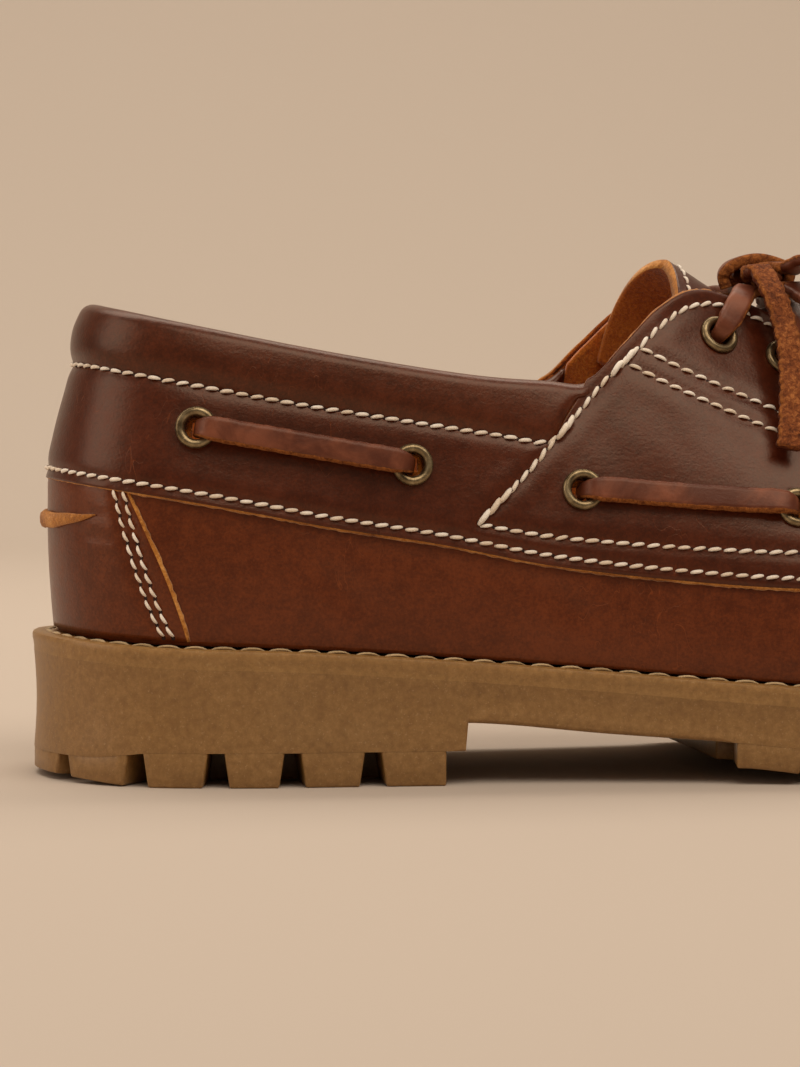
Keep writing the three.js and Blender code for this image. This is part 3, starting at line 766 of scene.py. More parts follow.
def quarter_lift(a, v):
    """How far the quarter stands out; it is drawn in below the collar, most at the heel."""
    top = height_on_wall(a, collar_seam)
    drawn = smooth(0.42, 0.0, top - v) * (1 - smooth(6.2, 7.3, np.abs(a)))
    return 0.7 - (0.75 + 1.0 * at_heel(a)) * drawn


def wall_seam(a, v, lift=None, pitch=PITCH, big=1.0):
    lift = quarter_lift(a, v) if lift is None else np.full_like(a, lift)
    points, normals = lifted(a, v, lift), wall_normal(a, v)
    count = max(2, round(steps_along(points).sum() / pitch))
    points, normals = even(points, count + 1, normals)
    seams.append((points, normals, big))


def drawn_seam(places, side, lift=None, **more):
    line = even(on_curve(places), 60)
    a, v = on_wall(line[:, 0], line[:, 1], side)
    wall_seam(a, v, lift, **more)


SECOND_ROW = [
    (85, 51), (99, 48.6), (113, 47.2), (130, 46), (147.5, 45.2), (163, 46), (176, 50.5), (184, 58),
    (187.5, 67),
]
DIAGONAL = [(85, 51.4), (94, 60), (101, 67.6), (107.6, 74.4), (112.5, 79.4), (119.4, 85.7)]
WING = [
    (119.4, 85.7), (123.4, 89.4), (128, 92.7), (133, 94.4), (138.5, 94.1), (147, 91), (158, 85.5),
    (170, 79.2), (182, 72.8),
]
FACING_UPPER = [(119.5, 85.6), (126, 82.2), (133, 79), (145, 73.8), (160, 67.5), (175, 61.5)]
FACING_LOWER = [(117, 82.4), (124, 78.6), (135.5, 73.4), (147, 68.4), (161, 62.4), (174, 57)]
OVERLAPS = (  # where one run of stitches starts over the end of another
    [(85, 51.4), (91.5, 57.6)], [(101.8, 68.4), (104.6, 71.4)], [(113.5, 80.3), (118.5, 84.9)],
)
COUNTER_ROWS = (
    [(14.1, 58.3), (15.7, 51), (18.2, 42), (20.8, 34.5), (23.4, 29)],
    [(15.9, 58), (17.5, 51), (20, 42), (22.6, 34.5), (25.2, 29)],
)
COUNTER_LIFT = 0.2

seam_rows = np.linspace(-15.05, 15.05, 1400)
wall_seam(seam_rows, height_on_wall(seam_rows, main_seam))
seam_rows = np.linspace(-6.18, 6.18, 700)
wall_seam(seam_rows, height_on_wall(seam_rows, collar_seam))
for side in (-1, 1):
    for row in (SECOND_ROW, DIAGONAL, WING, FACING_UPPER, FACING_LOWER):
        drawn_seam(row, side, big=1.12 if row in (DIAGONAL, WING) else 1.0)
    for row in OVERLAPS:
        drawn_seam(row, side, 1.1, big=1.5)
    for row in COUNTER_ROWS:
        drawn_seam(row, side, COUNTER_LIFT, pitch=2.75, big=0.9)

seam_points = [p for points, _, _ in seams for p in even(points, len(points) * 3)]
seam_tree = KDTree(len(seam_points))
for number, p in enumerate(seam_points):
    seam_tree.insert(p, number)
seam_tree.balance()


def seam_distance(points):
    flat = points.reshape(-1, 3)
    return np.array([seam_tree.find(p)[2] for p in flat]).reshape(points.shape[:-1])


def settle(points, normals, depth=0.3, width=1.15):
    """Leather drawn in along its seams, and how near it is to them, as wear."""
    away = seam_distance(points)
    trough = bell(away, 0, width)
    moved = points + normals * (bell(away, 3.2, 1.8) * 0.1 - trough * depth)[..., None]
    return moved, trough


# soft troughs on both sides: start and end as (u, z), depth, half width
CREASES = [
    ((52, 66), (60, 55), 0.12, 2.6), ((92, 66), (99, 54), 0.1, 2.4), ((111, 70), (116, 58), 0.12, 2.8),
    ((122, 74), (128, 62), 0.12, 2.6), ((140, 70), (141, 60), 0.1, 2.4), ((160, 62), (158, 50), 0.12, 2.6),
]
TUCK_CREASES = [((8, 49), (20, 47.6), 0.4, 1.1), ((8, 53.6), (19, 52.4), 0.25, 1.0)]
LOW_CREASES = [
    ((52, 44), (64, 33), 0.2, 3.0), ((96, 40), (108, 31), 0.2, 3.2), ((186, 48), (200, 30), 0.5, 3.6),
    ((196, 54), (214, 34), 0.55, 3.8), ((208, 56), (228, 38), 0.4, 3.6),
]


def creased(points, normals, table):
    """The points with each of the table's troughs, which fade at their tips, on both sides."""
    for start, end, depth, width in table:
        for side in (-1, 1):
            p, q = wall(*on_wall(*np.transpose([start, end]), side))
            t = np.clip(((points - p) @ (q - p)) / ((q - p) @ (q - p)), 0, 1)
            away = np.linalg.norm(points - (p + t[..., None] * (q - p)), axis=-1)
            fade = np.sin(np.pi * np.clip(t, 0.02, 0.98)) ** 0.6
            dip = bell(away, 0, width) - 0.45 * bell(away, 1.7 * width, width)
            points = points - normals * (depth * fade * dip)[..., None]
    return points


# ------------------------------------------------------------------ sole
def half_edge(side):
    """Length, row and place along one half of the sole's edge, from the back of the heel."""
    rows = np.linspace(0, TOE, 1601)
    points = edge_point(-side * rows, WELT)
    return run_along(points[:, :2]), rows, points


WELT_LINE = {side: half_edge(side) for side in (-1, 1)}
HEEL_GROOVES = [18, 36.8, 53, 68, 83.8]  # along the edge, from the back of the heel
LUG_PITCH = 15.2
LUG_DEPTH = 14
LUG_HEIGHT = 6.9
LUG_ROOT = 0.6  # how far a lug runs up into the body of the sole
BAR_WIDTH = 40  # of a bar across the middle, before it is fitted between the rims
CHANNEL = 3  # between the lugs of the rim and the bars across the middle
GROOVE_TOP = 3
GROOVE_FOOT = 5.3
LUG_LIMITS = (78, 134.5)  # the waist has no lugs between these
FORE_GROOVE = 149  # first groove of the rim ahead of the waist
HEEL_CROSS = 56  # grooves between the bars across the middle
FORE_CROSS = [160, 216, 234, 252]
PAST_END = 5  # bars are drawn past the sole's ends and stopped short of its rim


def length_at_u(side, u):
    run, _, p = WELT_LINE[side]
    return float(np.interp(to_x(u), p[:, 0], run))


def block(bm, size, cuts, place):
    """A bevelled block in mm, bent by place, which gets the shares of its length, depth and height."""
    made = bmesh.ops.create_cube(bm, size=1)["verts"]
    bmesh.ops.scale(bm, vec=size, verts=made)
    edges = list({e for v in made for e in v.link_edges})
    made = bmesh.ops.bevel(
        bm, geom=edges, offset=0.5, offset_type="OFFSET", affect="EDGES", segments=2, profile=0.5,
        material=-1)
    inside = list(made["verts"])
    for x in np.linspace(-0.5, 0.5, cuts + 2)[1:-1]:
        faces = {f for v in inside if v.is_valid for f in v.link_faces}
        edges = {e for f in faces for e in f.edges}
        corners = {v for f in faces for v in f.verts}
        parts = [*faces, *edges, *corners]
        cut = bmesh.ops.bisect_plane(bm, geom=parts, plane_co=(x * size[0], 0, 0), plane_no=(1, 0, 0))
        inside += [g for g in cut["geom_cut"] if isinstance(g, bmesh.types.BMVert)]
    for v in {v for v in inside if v.is_valid}:
        shares = (c / whole + 0.5 for c, whole in zip(v.co, size))
        v.co = Vector(place(*shares)) * MM


def lug_height(u, h):
    return tread(u) + h * (root(u) + LUG_ROOT - tread(u))


def edge_lug(bm, side, start, end, open_start=True, open_end=True):
    """One lug of the rim from one groove's middle to the next, by length along the edge."""
    run, rows, _ = WELT_LINE[side]
    other_run, other_rows, _ = WELT_LINE[-side]

    def place(along, deep, h):
        half = (GROOVE_FOOT + (GROOVE_TOP - GROOVE_FOOT) * h) / 2
        low, far = start + half * open_start, end - half * open_end
        length = low + along * (far - low)
        if length >= 0:
            a = -side * np.interp(length, run, rows)
        else:
            a = side * np.interp(-length, other_run, other_rows)
        p = edge_point(a, WELT - 0.04 - deep * LUG_DEPTH)
        return (p[0], p[1], lug_height(to_u(p[0]), h))

    block(bm, (end - start, LUG_DEPTH, LUG_HEIGHT), 5, place)


def inner_lug(bm, start, end):
    """A bar of tread across the middle of the sole."""
    rows, inset = np.linspace(0, TOE, 400), WELT - LUG_DEPTH - CHANNEL
    lines = {side: edge_point(-side * rows, inset) for side in (-1, 1)}
    reach = [
        max(line[:, 0].min() for line in lines.values()), min(line[:, 0].max() for line in lines.values())]
    start, end = max(to_x(start), reach[0] + 1), min(to_x(end), reach[1] - 1)

    def place(along, across, h):
        x = start + along * (end - start)
        lateral, medial = (np.interp(x, lines[side][:, 0], lines[side][:, 1]) for side in (-1, 1))
        return (x, lateral + across * (medial - lateral), lug_height(to_u(x), h))

    block(bm, (end - start, BAR_WIDTH, LUG_HEIGHT), 9, place)


def sole_stations():
    rows = even_rows(0, TOE, 260)
    breast = np.interp(to_x(HEEL_LENGTH), WELT_LINE[-1][2][:, 0], WELT_LINE[-1][1])
    rows = np.concatenate([rows, [breast - 1e-4, breast + 1e-4]])
    return np.sort(rows)


def sole_layer(name, profile, crease):
    """A layer of the sole, closed round; profile tells it, for each distance from the heel's back,
    the steps (outwards, height) down its edge and (share of the width, height) below and above."""
    rings = []
    for b in sole_stations():
        near, far = edge_point(b, WELT), edge_point(-b, WELT)
        out_near, out_far = outward(b), outward(-b)
        edge, below, above = profile(to_u((near[0] + far[0]) / 2))
        ring = [near + out_near * off + (z - near[2]) * UP for off, z in edge]
        ring += [(near * (1 - t) + far * t) * (1, 1, 0) + UP * z for t, z in below]
        ring += [far + out_far * off + (z - far[2]) * UP for off, z in reversed(edge)]
        ring += [(near * (1 - t) + far * t) * (1, 1, 0) + UP * z for t, z in above]
        rings.append(ring)
    return skin(name, np.array(rings), closed=True, crease=crease)


def outsole_profile(u):
    high = float(sole_top(u)) - MIDSOLE + 0.05
    low = float(root(u))
    breast, fore = LUG_LIMITS
    waist = smooth(breast, breast + 6, u) * (1 - smooth(fore - 4, fore, u))
    fillet = 0.05 + 0.9 * float(waist)
    edge = []
    for t in np.linspace(0, 1, 7):
        edge.append((-0.5 * math.sin(math.pi * t) - 0.05 * (1 - t), high + (low + fillet - high) * t))
    for turn in np.linspace(0.3, math.pi / 2, 4):
        edge.append((fillet * (math.cos(turn) - 1), low + fillet * (1 - math.sin(turn))))
    below = [(t, low + 0.3 * math.sin(math.pi * t)) for t in (0.25, 0.5, 0.75)]
    return edge, below, [(t, high) for t in (0.75, 0.5, 0.25)]


def outsole():
    body = sole_layer("outsole_body", outsole_profile, 35)
    bm = bmesh.new()
    for side in (-1, 1):
        for start, end in zip(HEEL_GROOVES, HEEL_GROOVES[1:]):
            edge_lug(bm, side, start, end)
        breast, fore, first = (length_at_u(side, u) for u in (*LUG_LIMITS, FORE_GROOVE))
        edge_lug(bm, side, HEEL_GROOVES[-1], breast, open_end=False)
        edge_lug(bm, side, fore, first, open_start=False)
        toe = WELT_LINE[side][0][-1]
        grooves = list(np.arange(first, toe - GROOVE_FOOT, LUG_PITCH))
        for start, end in zip(grooves, grooves[1:]):
            edge_lug(bm, side, start, end)
        edge_lug(bm, side, grooves[-1], toe, open_end=False)
    edge_lug(bm, -1, -HEEL_GROOVES[0], HEEL_GROOVES[0])
    half = GROOVE_FOOT / 2
    breast, fore = LUG_LIMITS
    inner_lug(bm, -PAST_END, HEEL_CROSS - half)
    inner_lug(bm, HEEL_CROSS + half, breast)
    inner_lug(bm, fore, FORE_CROSS[0] - half)
    for start, end in zip(FORE_CROSS, [*FORE_CROSS[1:], LENGTH + PAST_END]):
        inner_lug(bm, start + half, end - half)
    bmesh.ops.recalc_face_normals(bm, faces=bm.faces)
    lugs = link("outsole_lugs", bm)
    lugs.data.set_sharp_from_angle(angle=math.radians(50))
    finish(lugs, [RUBBER])
    finish(body, [RUBBER], ["outsole"])


# how far out and how far below the top of the sole the welt layer's edge runs
WELT_EDGE = [
    (-4.6, 0.25), (-1.6, 0), (-0.5, 0.02), (0.1, 0.3), (0.28, 0.8), (0.26, 1.5), (0.12, 2.1), (0.0, 2.9),
    (-0.04, MIDSOLE - 0.5), (-0.05, MIDSOLE - 0.04),
]


def midsole_profile(u):
    high = float(sole_top(u))
    return [(off, high - down) for off, down in WELT_EDGE], [(t, high - MIDSOLE) for t in (0.3, 0.7)], []


def midsole():
    finish(sole_layer("welt_layer", midsole_profile, 40), [RUBBER_TOP], ["midsole"])


def rod(length, width, height):
    """A stitch: a thread that comes up, crosses and goes down, flat side below."""
    rings, sides = 6, 6
    bm = bmesh.new()
    last = None
    for i in range(rings):
        t = i / (rings - 1)
        x = (t - 0.5) * length
        fat = (0.5 + 0.5 * math.sin(math.pi * t) ** 0.5) if 0 < t < 1 else 0.5
        lift = height * (math.sin(math.pi * t) ** 0.6 if 0 < t < 1 else 0) - height * 0.35
        circle = bmesh.ops.create_circle(bm, segments=sides, radius=0.5, cap_ends=False)["verts"]
        turn = Matrix.Rotation(math.pi / 2, 4, "Y")
        place = Matrix.Translation((x, 0, lift)) @ turn @ Matrix.Diagonal((height * fat, width * fat, 1, 1))
        bmesh.ops.transform(bm, matrix=Matrix.Scale(MM, 4) @ place, verts=circle)
        edges = list({e for v in circle for e in v.link_edges})
        if last:
            bmesh.ops.bridge_loops(bm, edges=last + edges)
        last = edges
    bmesh.ops.holes_fill(bm, edges=[e for e in bm.edges if e.is_boundary])
    bmesh.ops.recalc_face_normals(bm, faces=bm.faces)
    return bm


def sew(name, size, places, material):
    """Stitches of one size, each with a tint of its own."""
    tints = [random.random() for _ in places]
    finish(copies(name, rod(*size), places, tints), [material])


def stood(point, along, normal, turn=0.0, scale=1.0):
    """A matrix at point with X along, Z out and a turn about Z."""
    z = Vector(normal).normalized()
    x = Vector(along)
    x = (x - z * x.dot(z)).normalized()
    axes = Matrix((x, z.cross(x), z)).transposed().to_4x4()
    place = Matrix.Translation(Vector(point) * MM) @ axes
    return place @ Matrix.Rotation(turn, 4, "Z") @ Matrix.Scale(scale, 4)


def welt_stitching():
    places = []
    for side in (-1, 1):
        run, rows, _ = WELT_LINE[side]
        for length in np.arange(3, run[-1] - 1, WELT_PITCH):
            a = -side * np.interp(length, run, rows)
            p, q = edge_point(a, 1.3), edge_point(a - side * 0.02, 1.3)
            p[2] = float(sole_top(to_u(p[0]))) - 0.12
            turn, scale = random.uniform(-0.08, 0.08), random.uniform(0.93, 1.05)
            places.append(stood(p, q - p, (0, 0, 1), turn, scale))
    sew("welt_stitching", (5.2, 1.5, 0.55), places, WELT_THREAD)


# ------------------------------------------------------------------ upper
def panel(piece, thickness, grain, replaces=()):
    """Leather of one thickness, with its cut edges and its rough inside showing."""
    thicken(piece, thickness, rim=1, inner=2)
    finish(piece, [grain, EDGE, SUEDE], replaces)


def grid_between(rows, low, high, steps):
    """Rows by heights: a[i, j] and v[i, j] with v from low to high of each row."""
    low, high = (np.broadcast_to(level, rows.shape)[:, None] for level in (low, high))
    return np.repeat(rows[:, None], len(steps), 1), low + (high - low) * steps


def vamp():
    rows = even_rows(-TOE, TOE, 620)
    inside = np.abs(rows) < 15.3
    high = np.where(inside, height_on_wall(rows, lambda u: quarter_edge(u) + 5), 1)
    a, v = grid_between(rows, 0, high, np.linspace(0, 1, 40))
    normals = wall_normal(a, v)
    lift = np.full_like(a, -0.6) + 0.6 * smooth(15.6, 17, np.abs(a)) * smooth(0.75, 1, v)
    points = wall(a, v) + normals * lift[..., None]
    points = creased(points, normals, LOW_CREASES)
    points, worn = settle(points, normals, 0.15)
    foot = smooth(0.1, 0, v) * 0.5
    piece = skin("vamp", points, fields={"wear": np.clip(worn * 0.5 + foot, 0, 1)})
    panel(piece, 1.4, VAMP, ["upper"])


RAW_BAND = 0.3  # how much of a cut edge shows beside its grain, in mm


def quarter():
    rows = even_rows(-15.2, 15.2, 520)
    low = height_on_wall(rows, quarter_edge)
    high = np.minimum(1, height_on_wall(rows, collar_seam))
    steps = np.concatenate([[0, 0], np.linspace(0, 0.12, 7), np.linspace(0.12, 1, 44)[1:], [1]])
    a, v = grid_between(rows, low, high, steps)
    normals = wall_normal(a, v)
    lift = quarter_lift(a, v)
    lift[:, 0] -= 1.3
    lift[:, 1] -= 0.9
    lift[:, -1] -= 0.8
    points = wall(a, v) + normals * lift[..., None]
    points = creased(points, normals, CREASES)
    points, worn = settle(points, normals)
    rise = unit(points[:, 4] - points[:, 3])
    ragged = np.array([random.uniform(0.7, 1.3) for _ in rows])[:, None]
    points[:, 0] -= rise * RAW_BAND * 1.5 * ragged
    points[:, 1] -= rise * RAW_BAND * 1.2 * ragged
    wing = smooth(7, 7.8, np.abs(rows))[:, None]
    points[:, -1] += unit(points[:, -3] - points[:, -4]) * RAW_BAND * 1.6 * wing * ragged
    piece = skin("quarter", points, fields={"wear": worn}, punched=PUNCHED, raw=(2, 1))
    panel(piece, 0.8, UPPER)


COLLAR_END = 7.5
COLLAR_THICK = 2.9  # half the padded roll
COLLAR_DEPTH = 14  # how far down inside the shoe it reaches
COLLAR_OUTSIDE = 20  # points of its outline that lie outside, where the seam draws it in


def collar_outline(a, seam_v):
    """The padded roll cut across at row a, as (outwards, below the rim), from its seam over its top."""
    drop = max(np.linalg.norm(wall(a, 1) - wall(a, seam_v)), 4.0)
    full = float(smooth(COLLAR_END, COLLAR_END - 0.7, abs(a)))
    heel = float(at_heel(a))
    r = COLLAR_THICK * (0.3 + 0.7 * full)
    foot = (-0.15 - 1.0 * heel) * full - 0.8 * (1 - full)
    shoulder = (0.9 + 0.5 * heel) * full - 0.9 * (1 - full)
    line = []
    for t in np.linspace(0, 1, 12)[:-1]:
        swell = math.sin(math.pi / 2 * min(1, t * 1.25)) ** 0.9
        line.append((foot + (shoulder - foot) * swell, drop + (r - drop) * t))
    for turn in np.linspace(0, math.pi, 15):
        line.append((shoulder - r + r * math.cos(turn), r - r * math.sin(turn) + 0.1))
    inner = shoulder - 2 * r
    for t in np.linspace(0, 1, 8)[1:]:
        slope = 2.6 * t * t * (3 - 2 * t) - 0.4 * math.sin(math.pi * t)
        line.append((inner + slope, r + (COLLAR_DEPTH - r) * t))
    return [*line, (-1.4, 13.4), (foot - 1.0, drop + 0.5)]


def collar():
    rows = even_rows(-COLLAR_END, COLLAR_END, 300)
    seam_v = height_on_wall(rows, collar_seam)
    outlines = np.array([collar_outline(*place) for place in zip(rows, seam_v)])
    a = np.repeat(rows[:, None], outlines.shape[1], 1)
    offset, h = outlines[..., 0], outlines[..., 1]
    v = down_from_rim(a, np.maximum(h, 0))
    above = np.minimum(h, 0)
    rim_up = unit(wall(a, np.ones_like(a)) - wall(a, np.full_like(a, 0.96)))
    normals = wall_normal(a, v)
    points = wall(a, v) + normals * offset[..., None] - rim_up * above[..., None]
    outer = np.arange(points.shape[1]) < COLLAR_OUTSIDE
    settled, worn = settle(points, normals, 0.3)
    points = np.where(outer[None, :, None], settled, points)
    ripple = np.sin(length_at(rows) / 6.5) + 0.7 * np.sin(length_at(rows) / 3.7 + 1.0)
    points = points + normals * (0.06 * ripple)[:, None, None]
    piece = skin("collar_roll", points, closed=True, fields={"wear": worn * 0.5})
    finish(piece, [COLLAR])


def lining():
    """Inside of the shoe from the insole to the collar and the facings' edge."""
    rows = even_rows(-14.8, 14.8, 260)
    top = np.where(np.abs(rows) < COLLAR_END, down_from_rim(rows, 9.0), 1)
    a, v = grid_between(rows, 0.03, top, np.linspace(0, 1, 30))
    points = wall(a, v) - wall_normal(a, v) * 1.5
    piece = skin("lining", points, punched=PUNCHED)
    thicken(piece, 0.85)
    finish(piece, [SUEDE])


def toe_lining():
    rows = even_rows(14.6, TOE, 80)
    for name, sign in (("toe_lining_lateral", 1), ("toe_lining_medial", -1)):
        a, v = grid_between(sign * rows, 0.03, 1, np.linspace(0, 1, 20))
        points = wall(a, v) - wall_normal(a, v) * 2.15
        piece = skin(name, points, flip=sign > 0)
        finish(piece, [SUEDE])


def counter():
    t = np.linspace(-1, 1, 120)
    t = np.concatenate([[-1, -1], t, [1, 1]])
    h = np.linspace(0, 1, 34)
    reach = 2.4 - 0.48 * h - 0.32 * h ** 2
    a = t[:, None] * reach[None, :]
    v = np.repeat((0.01 + h * 0.43)[None, :], len(t), 0)
    normals = wall_normal(a, v)
    lift = np.full(len(t), 0.12)
    lift[[0, -1]] -= 0.8
    lift[[1, -2]] -= 0.45
    points = creased(wall(a, v) + normals * lift[:, None, None], normals, TUCK_CREASES)
    points, worn = settle(points, normals, 0.25)
    for outer, inner, edge, row in ((0, 1, 2, 3), (-1, -2, -3, -4)):
        out = unit(points[edge] - points[row])
        ragged = np.array([random.uniform(0.75, 1.25) for _ in h])[:, None]
        points[outer] += out * 0.72 * ragged
        points[inner] += out * 0.6 * ragged
    points = points.transpose(1, 0, 2)
    piece = skin("heel_counter_panel", points, flip=True, fields={"wear": worn.T}, raw=(2, 2))
    panel(piece, 0.7, VAMP, ["heel_counter"])


HEEL_TUCK_HEIGHT = 51.3


def heel_tuck():
    """The thick raw-edged tuck where the counter is folded over at the back of the heel."""
    t = np.linspace(-1, 1, 70)
    profile = [(0, 1), (0.55, 0.96), (0.9, 0.7), (1, 0.2), (0.96, -0.4), (0.7, -0.85), (0.2, -1),
               (-0.5, -0.8), (-0.6, 0.4)]
    points = []
    for place in t:
        taper = max(0.03, (1 - abs(place) ** 1.7)) ** 0.75
        a = place * 1.3
        base = wall(a, height_on_wall(np.array([a]), lambda u: HEEL_TUCK_HEIGHT)[0])
        out = wall_normal(a, 0.45)
        wave = 0.12 * math.sin(place * 13) * taper
        points.append([base + out * (0.35 + 1.35 * taper * c) + UP * (1.75 * taper * (k - 1) + wave + 1.7)
                       for c, k in profile])
    finish(skin("heel_tuck", np.array(points), closed=True), [EDGE])


def plug_piece():
    """The moccasin plug with a gathered, hand-sewn rim."""
    b, w = np.meshgrid(np.linspace(THROAT, TOE - 0.02, 150), np.linspace(0, 1, 61), indexing="ij")
    points, normals = plug(b, w), plug_normal(b, w)
    width = np.linalg.norm(plug(b, np.zeros_like(b)) - plug(b, np.ones_like(b)), axis=-1)
    rim = np.minimum(w, 1 - w) * width
    nose = (TOE - b) * 6.0
    away = np.minimum(rim, nose + 0.6)
    ridge = 1.5 * bell(away, 1.6, 1.5) - 0.5 * bell(away, 4.6, 1.5)
    points = points + normals * (ridge - 0.2)[..., None]
    piece = skin("plug", points, fields={"wear": bell(away, 0, 4.0)})
    panel(piece, 1.6, UPPER)


def moc_seam():
    """A rolled, puckered ridge where wall and plug meet, and its thick hand stitches."""
    lateral = np.linspace(14.25, TOE, 260)
    a = np.concatenate([lateral, -lateral[::-1][1:]])
    a = np.where(np.abs(a) >= TOE, np.sign(a) * (TOE - 1e-6), a)
    line = wall(a, np.ones_like(a))
    out = wall_normal(a, np.ones_like(a))
    top = facing_up(unit(np.cross(np.gradient(line, axis=0), out)))
    run = run_along(line)
    at = np.linspace(0, run[-1], 700)
    line, out, top = (sampled(at, run, rows) for rows in (line, out, top))
    gather = np.sin(at / MOC_PITCH * 2 * np.pi)
    pucker = 1 + 0.14 * gather
    turns = np.linspace(0, 2 * np.pi, 17)[:-1]
    swell = 1.15 * pucker[:, None, None] * np.sin(turns)[None, :, None] + 0.7
    ring = line[:, None] + top[:, None] * swell
    ring = ring + out[:, None] * (1.25 * pucker[:, None, None] * np.cos(turns)[None, :, None] - 0.1)
    wear = np.repeat((0.5 + 0.3 * gather)[:, None], ring.shape[1], 1)
    piece = skin("moccasin_seam", ring, closed=True, fields={"wear": wear})
    finish(piece, [UPPER])
    places = []
    for length in np.arange(2.2, run[-1] - 1, MOC_PITCH):
        p, o, n = (sampled(length, at, rows) for rows in (line, out, top))
        ahead = sampled(length + 0.5, at, line) - p
        across = unit(o) + unit(ahead) * 0.35
        places.append(stood(p + n * 1.55, across, n, random.uniform(-0.1, 0.1)))
    sew("moccasin_stitches", (4.2, 1.1, 1.0), places, THREAD)


def stitching():
    places, holes = [], []
    for points, normals, big in seams:
        for p, q, n in zip(points, points[1:], normals):
            slant = random.gauss(0.2, 0.05) * (1 if n[1] < 0 else -1)
            middle = (p + q) / 2 - n * 0.06
            places.append(stood(middle, q - p, n, slant, big * random.uniform(0.94, 1.04)))
        # a flat dark disc at each needle hole, painted shadow of the hole
        for p, n in zip(points, normals):
            holes.append(stood(p - n * 0.24, (0, 0, 1), n, 0, random.uniform(0.85, 1.1)))
    sew("stitching", (STITCH, 0.78, 0.62), places, THREAD)
    # the discs are painted shade where the thread goes into the leather; there are no real holes
    bm = bmesh.new()
    bmesh.ops.create_circle(bm, segments=8, radius=0.42 * MM, cap_ends=True)
    finish(copies("needle_hole_shades", bm, holes), [NEEDLE_HOLE_SHADE])


# ------------------------------------------------------------------ eyelets
SIDE_EYELETS = [(30, 70), (72, 62.7), (106, 57.6), (148.6, 53.8)]
FACING_EYELETS = [(136.5, 88), (150.5, 83.3), (165, 77.4)]
EYELET_PROFILE = [
    (2.95, -3.2), (2.35, -3.2), (2.3, 0.0), (2.42, 0.5), (2.75, 0.85), (3.3, 1.0), (3.75, 0.88),
    (4.05, 0.55), (4.16, 0.15), (4.1, -0.1), (2.95, -0.1),
]


def eyelet_places():
    places = {}
    for side, label in SIDES:
        for kind, table in (("side", SIDE_EYELETS), ("facing", FACING_EYELETS)):
            for number, (u, z) in enumerate(table, 1):
                places[f"{kind}_{number}_{label}"] = spot(u, z, side, 0.75)
    return places


EYELETS = eyelet_places()
PUNCHED = [(centre, 2.75) for centre, _ in EYELETS.values()]  # holes: centre, radius


def eyelets():
    for key, (centre, normal) in EYELETS.items():
        bm = bmesh.new()
        ring = [bm.verts.new((r * MM, 0, z * MM)) for r, z in EYELET_PROFILE]
        edges = [bm.edges.new(pair) for pair in zip(ring, ring[1:] + ring[:1])]
        bmesh.ops.spin(
            bm, geom=ring + edges, cent=(0, 0, 0), axis=(0, 0, 1), angle=2 * math.pi, steps=40,
            use_merge=True)
        bmesh.ops.remove_doubles(bm, verts=bm.verts, dist=1e-7)
        bmesh.ops.recalc_face_normals(bm, faces=bm.faces)
        place = stood(centre + normal * 0.15, (1, 0, 0), normal, random.uniform(0, 6))
        bmesh.ops.transform(bm, matrix=place, verts=bm.verts)
        piece = link(f"brass_ring_{key}", bm)
        finish(piece, [BRASS], [f"eyelet_{key}"])


# ------------------------------------------------------------------ laces
EYELET_PROUD = 1.4
LIFT = EYELET_PROUD + GAP + LACE_THICK / 2
FULL = (LACE_WIDTH, LACE_THICK)
RING = 20  # points round a lace: 7 on the grain, 3 on each edge, 7 on the flesh


def lace_ring(width, thick):
    points = []
    for i in range(RING):
        if i < 7:
            t = i / 7
            bulge = 1 + 0.06 * math.sin(math.pi * t)
            points.append(((t - 0.5) * (width - thick * 0.5), thick / 2 * bulge))
        elif i < 10:
            turn = math.pi / 2 - (i - 7) / 3 * math.pi
            points.append((width / 2 - thick * 0.25 * (1 - math.cos(turn)), thick / 2 * math.sin(turn)))
        elif i < 17:
            t = (i - 10) / 7
            points.append(((0.5 - t) * (width - thick * 0.5), -thick / 2))
        else:
            turn = -math.pi / 2 - (i - 17) / 3 * math.pi
            points.append((-width / 2 + thick * 0.25 * (1 + math.cos(turn)), thick / 2 * math.sin(turn)))
    return np.array(points)


def strap(name, stations, count, ragged=0.14):
    """A flat lace: stations are (point, facing, (width, thickness)) in mm."""
    table = [[*place, *unit(np.array(facing, float)), *section] for place, facing, section in stations]
    dense = on_curve(table)
    run = run_along(dense[:, :3])
    at = np.linspace(0, run[-1], count)
    dense = sampled(at, run, dense)
    centre, facing = dense[:, :3], unit(dense[:, 3:6])
    along = unit(np.gradient(centre, axis=0))
    across = unit(np.cross(facing, along))
    up = np.cross(along, across)
    phase = random.uniform(0, 40)
    rings = []
    for i, (w, t) in enumerate(dense[:, 6:8]):
        wave = math.sin(at[i] * 1.7 + phase) * 0.5 + math.sin(at[i] * 4.1 + 2 * phase) * 0.35
        section = lace_ring(w * (1 + ragged * 0.25 * wave), t)
        section[:, 1] += 0.12 * math.sin(at[i] * 0.6 + phase)
        rings.append(centre[i] + across[i] * section[:, :1] + up[i] * section[:, 1:])
    return skin(name, np.array(rings), closed=True), centre * MM


def lace(name, stations, count, *nodes):
    piece, _ = strap(name, stations, count)
    finish(piece, [LACE], nodes)


def dip(key, towards):
    """Where a lace rises out of an eyelet and turns over its flange."""
    centre, normal = EYELETS[key]
    surface = centre - normal * 0.75
    along = np.array(towards) - surface
    along = unit(along - normal * (along @ normal))
    steps = [(-2.4, 0.1, -along, (3.2, 1.7)), (0.9, 0.5, -along, (3.4, 1.7)),
             (LIFT - 0.15, 2.0, normal - along * 0.7, (4.3, 1.9)), (LIFT, 4.4, normal, FULL)]
    return [
        (surface + normal * out + along * ahead, facing, section) for out, ahead, facing, section in steps]


def laid(first, last, middle):
    """A lace's way out of one eyelet, along its middle and into another."""
    return dip(first, middle[0][0]) + middle + dip(last, middle[-1][0])[::-1]


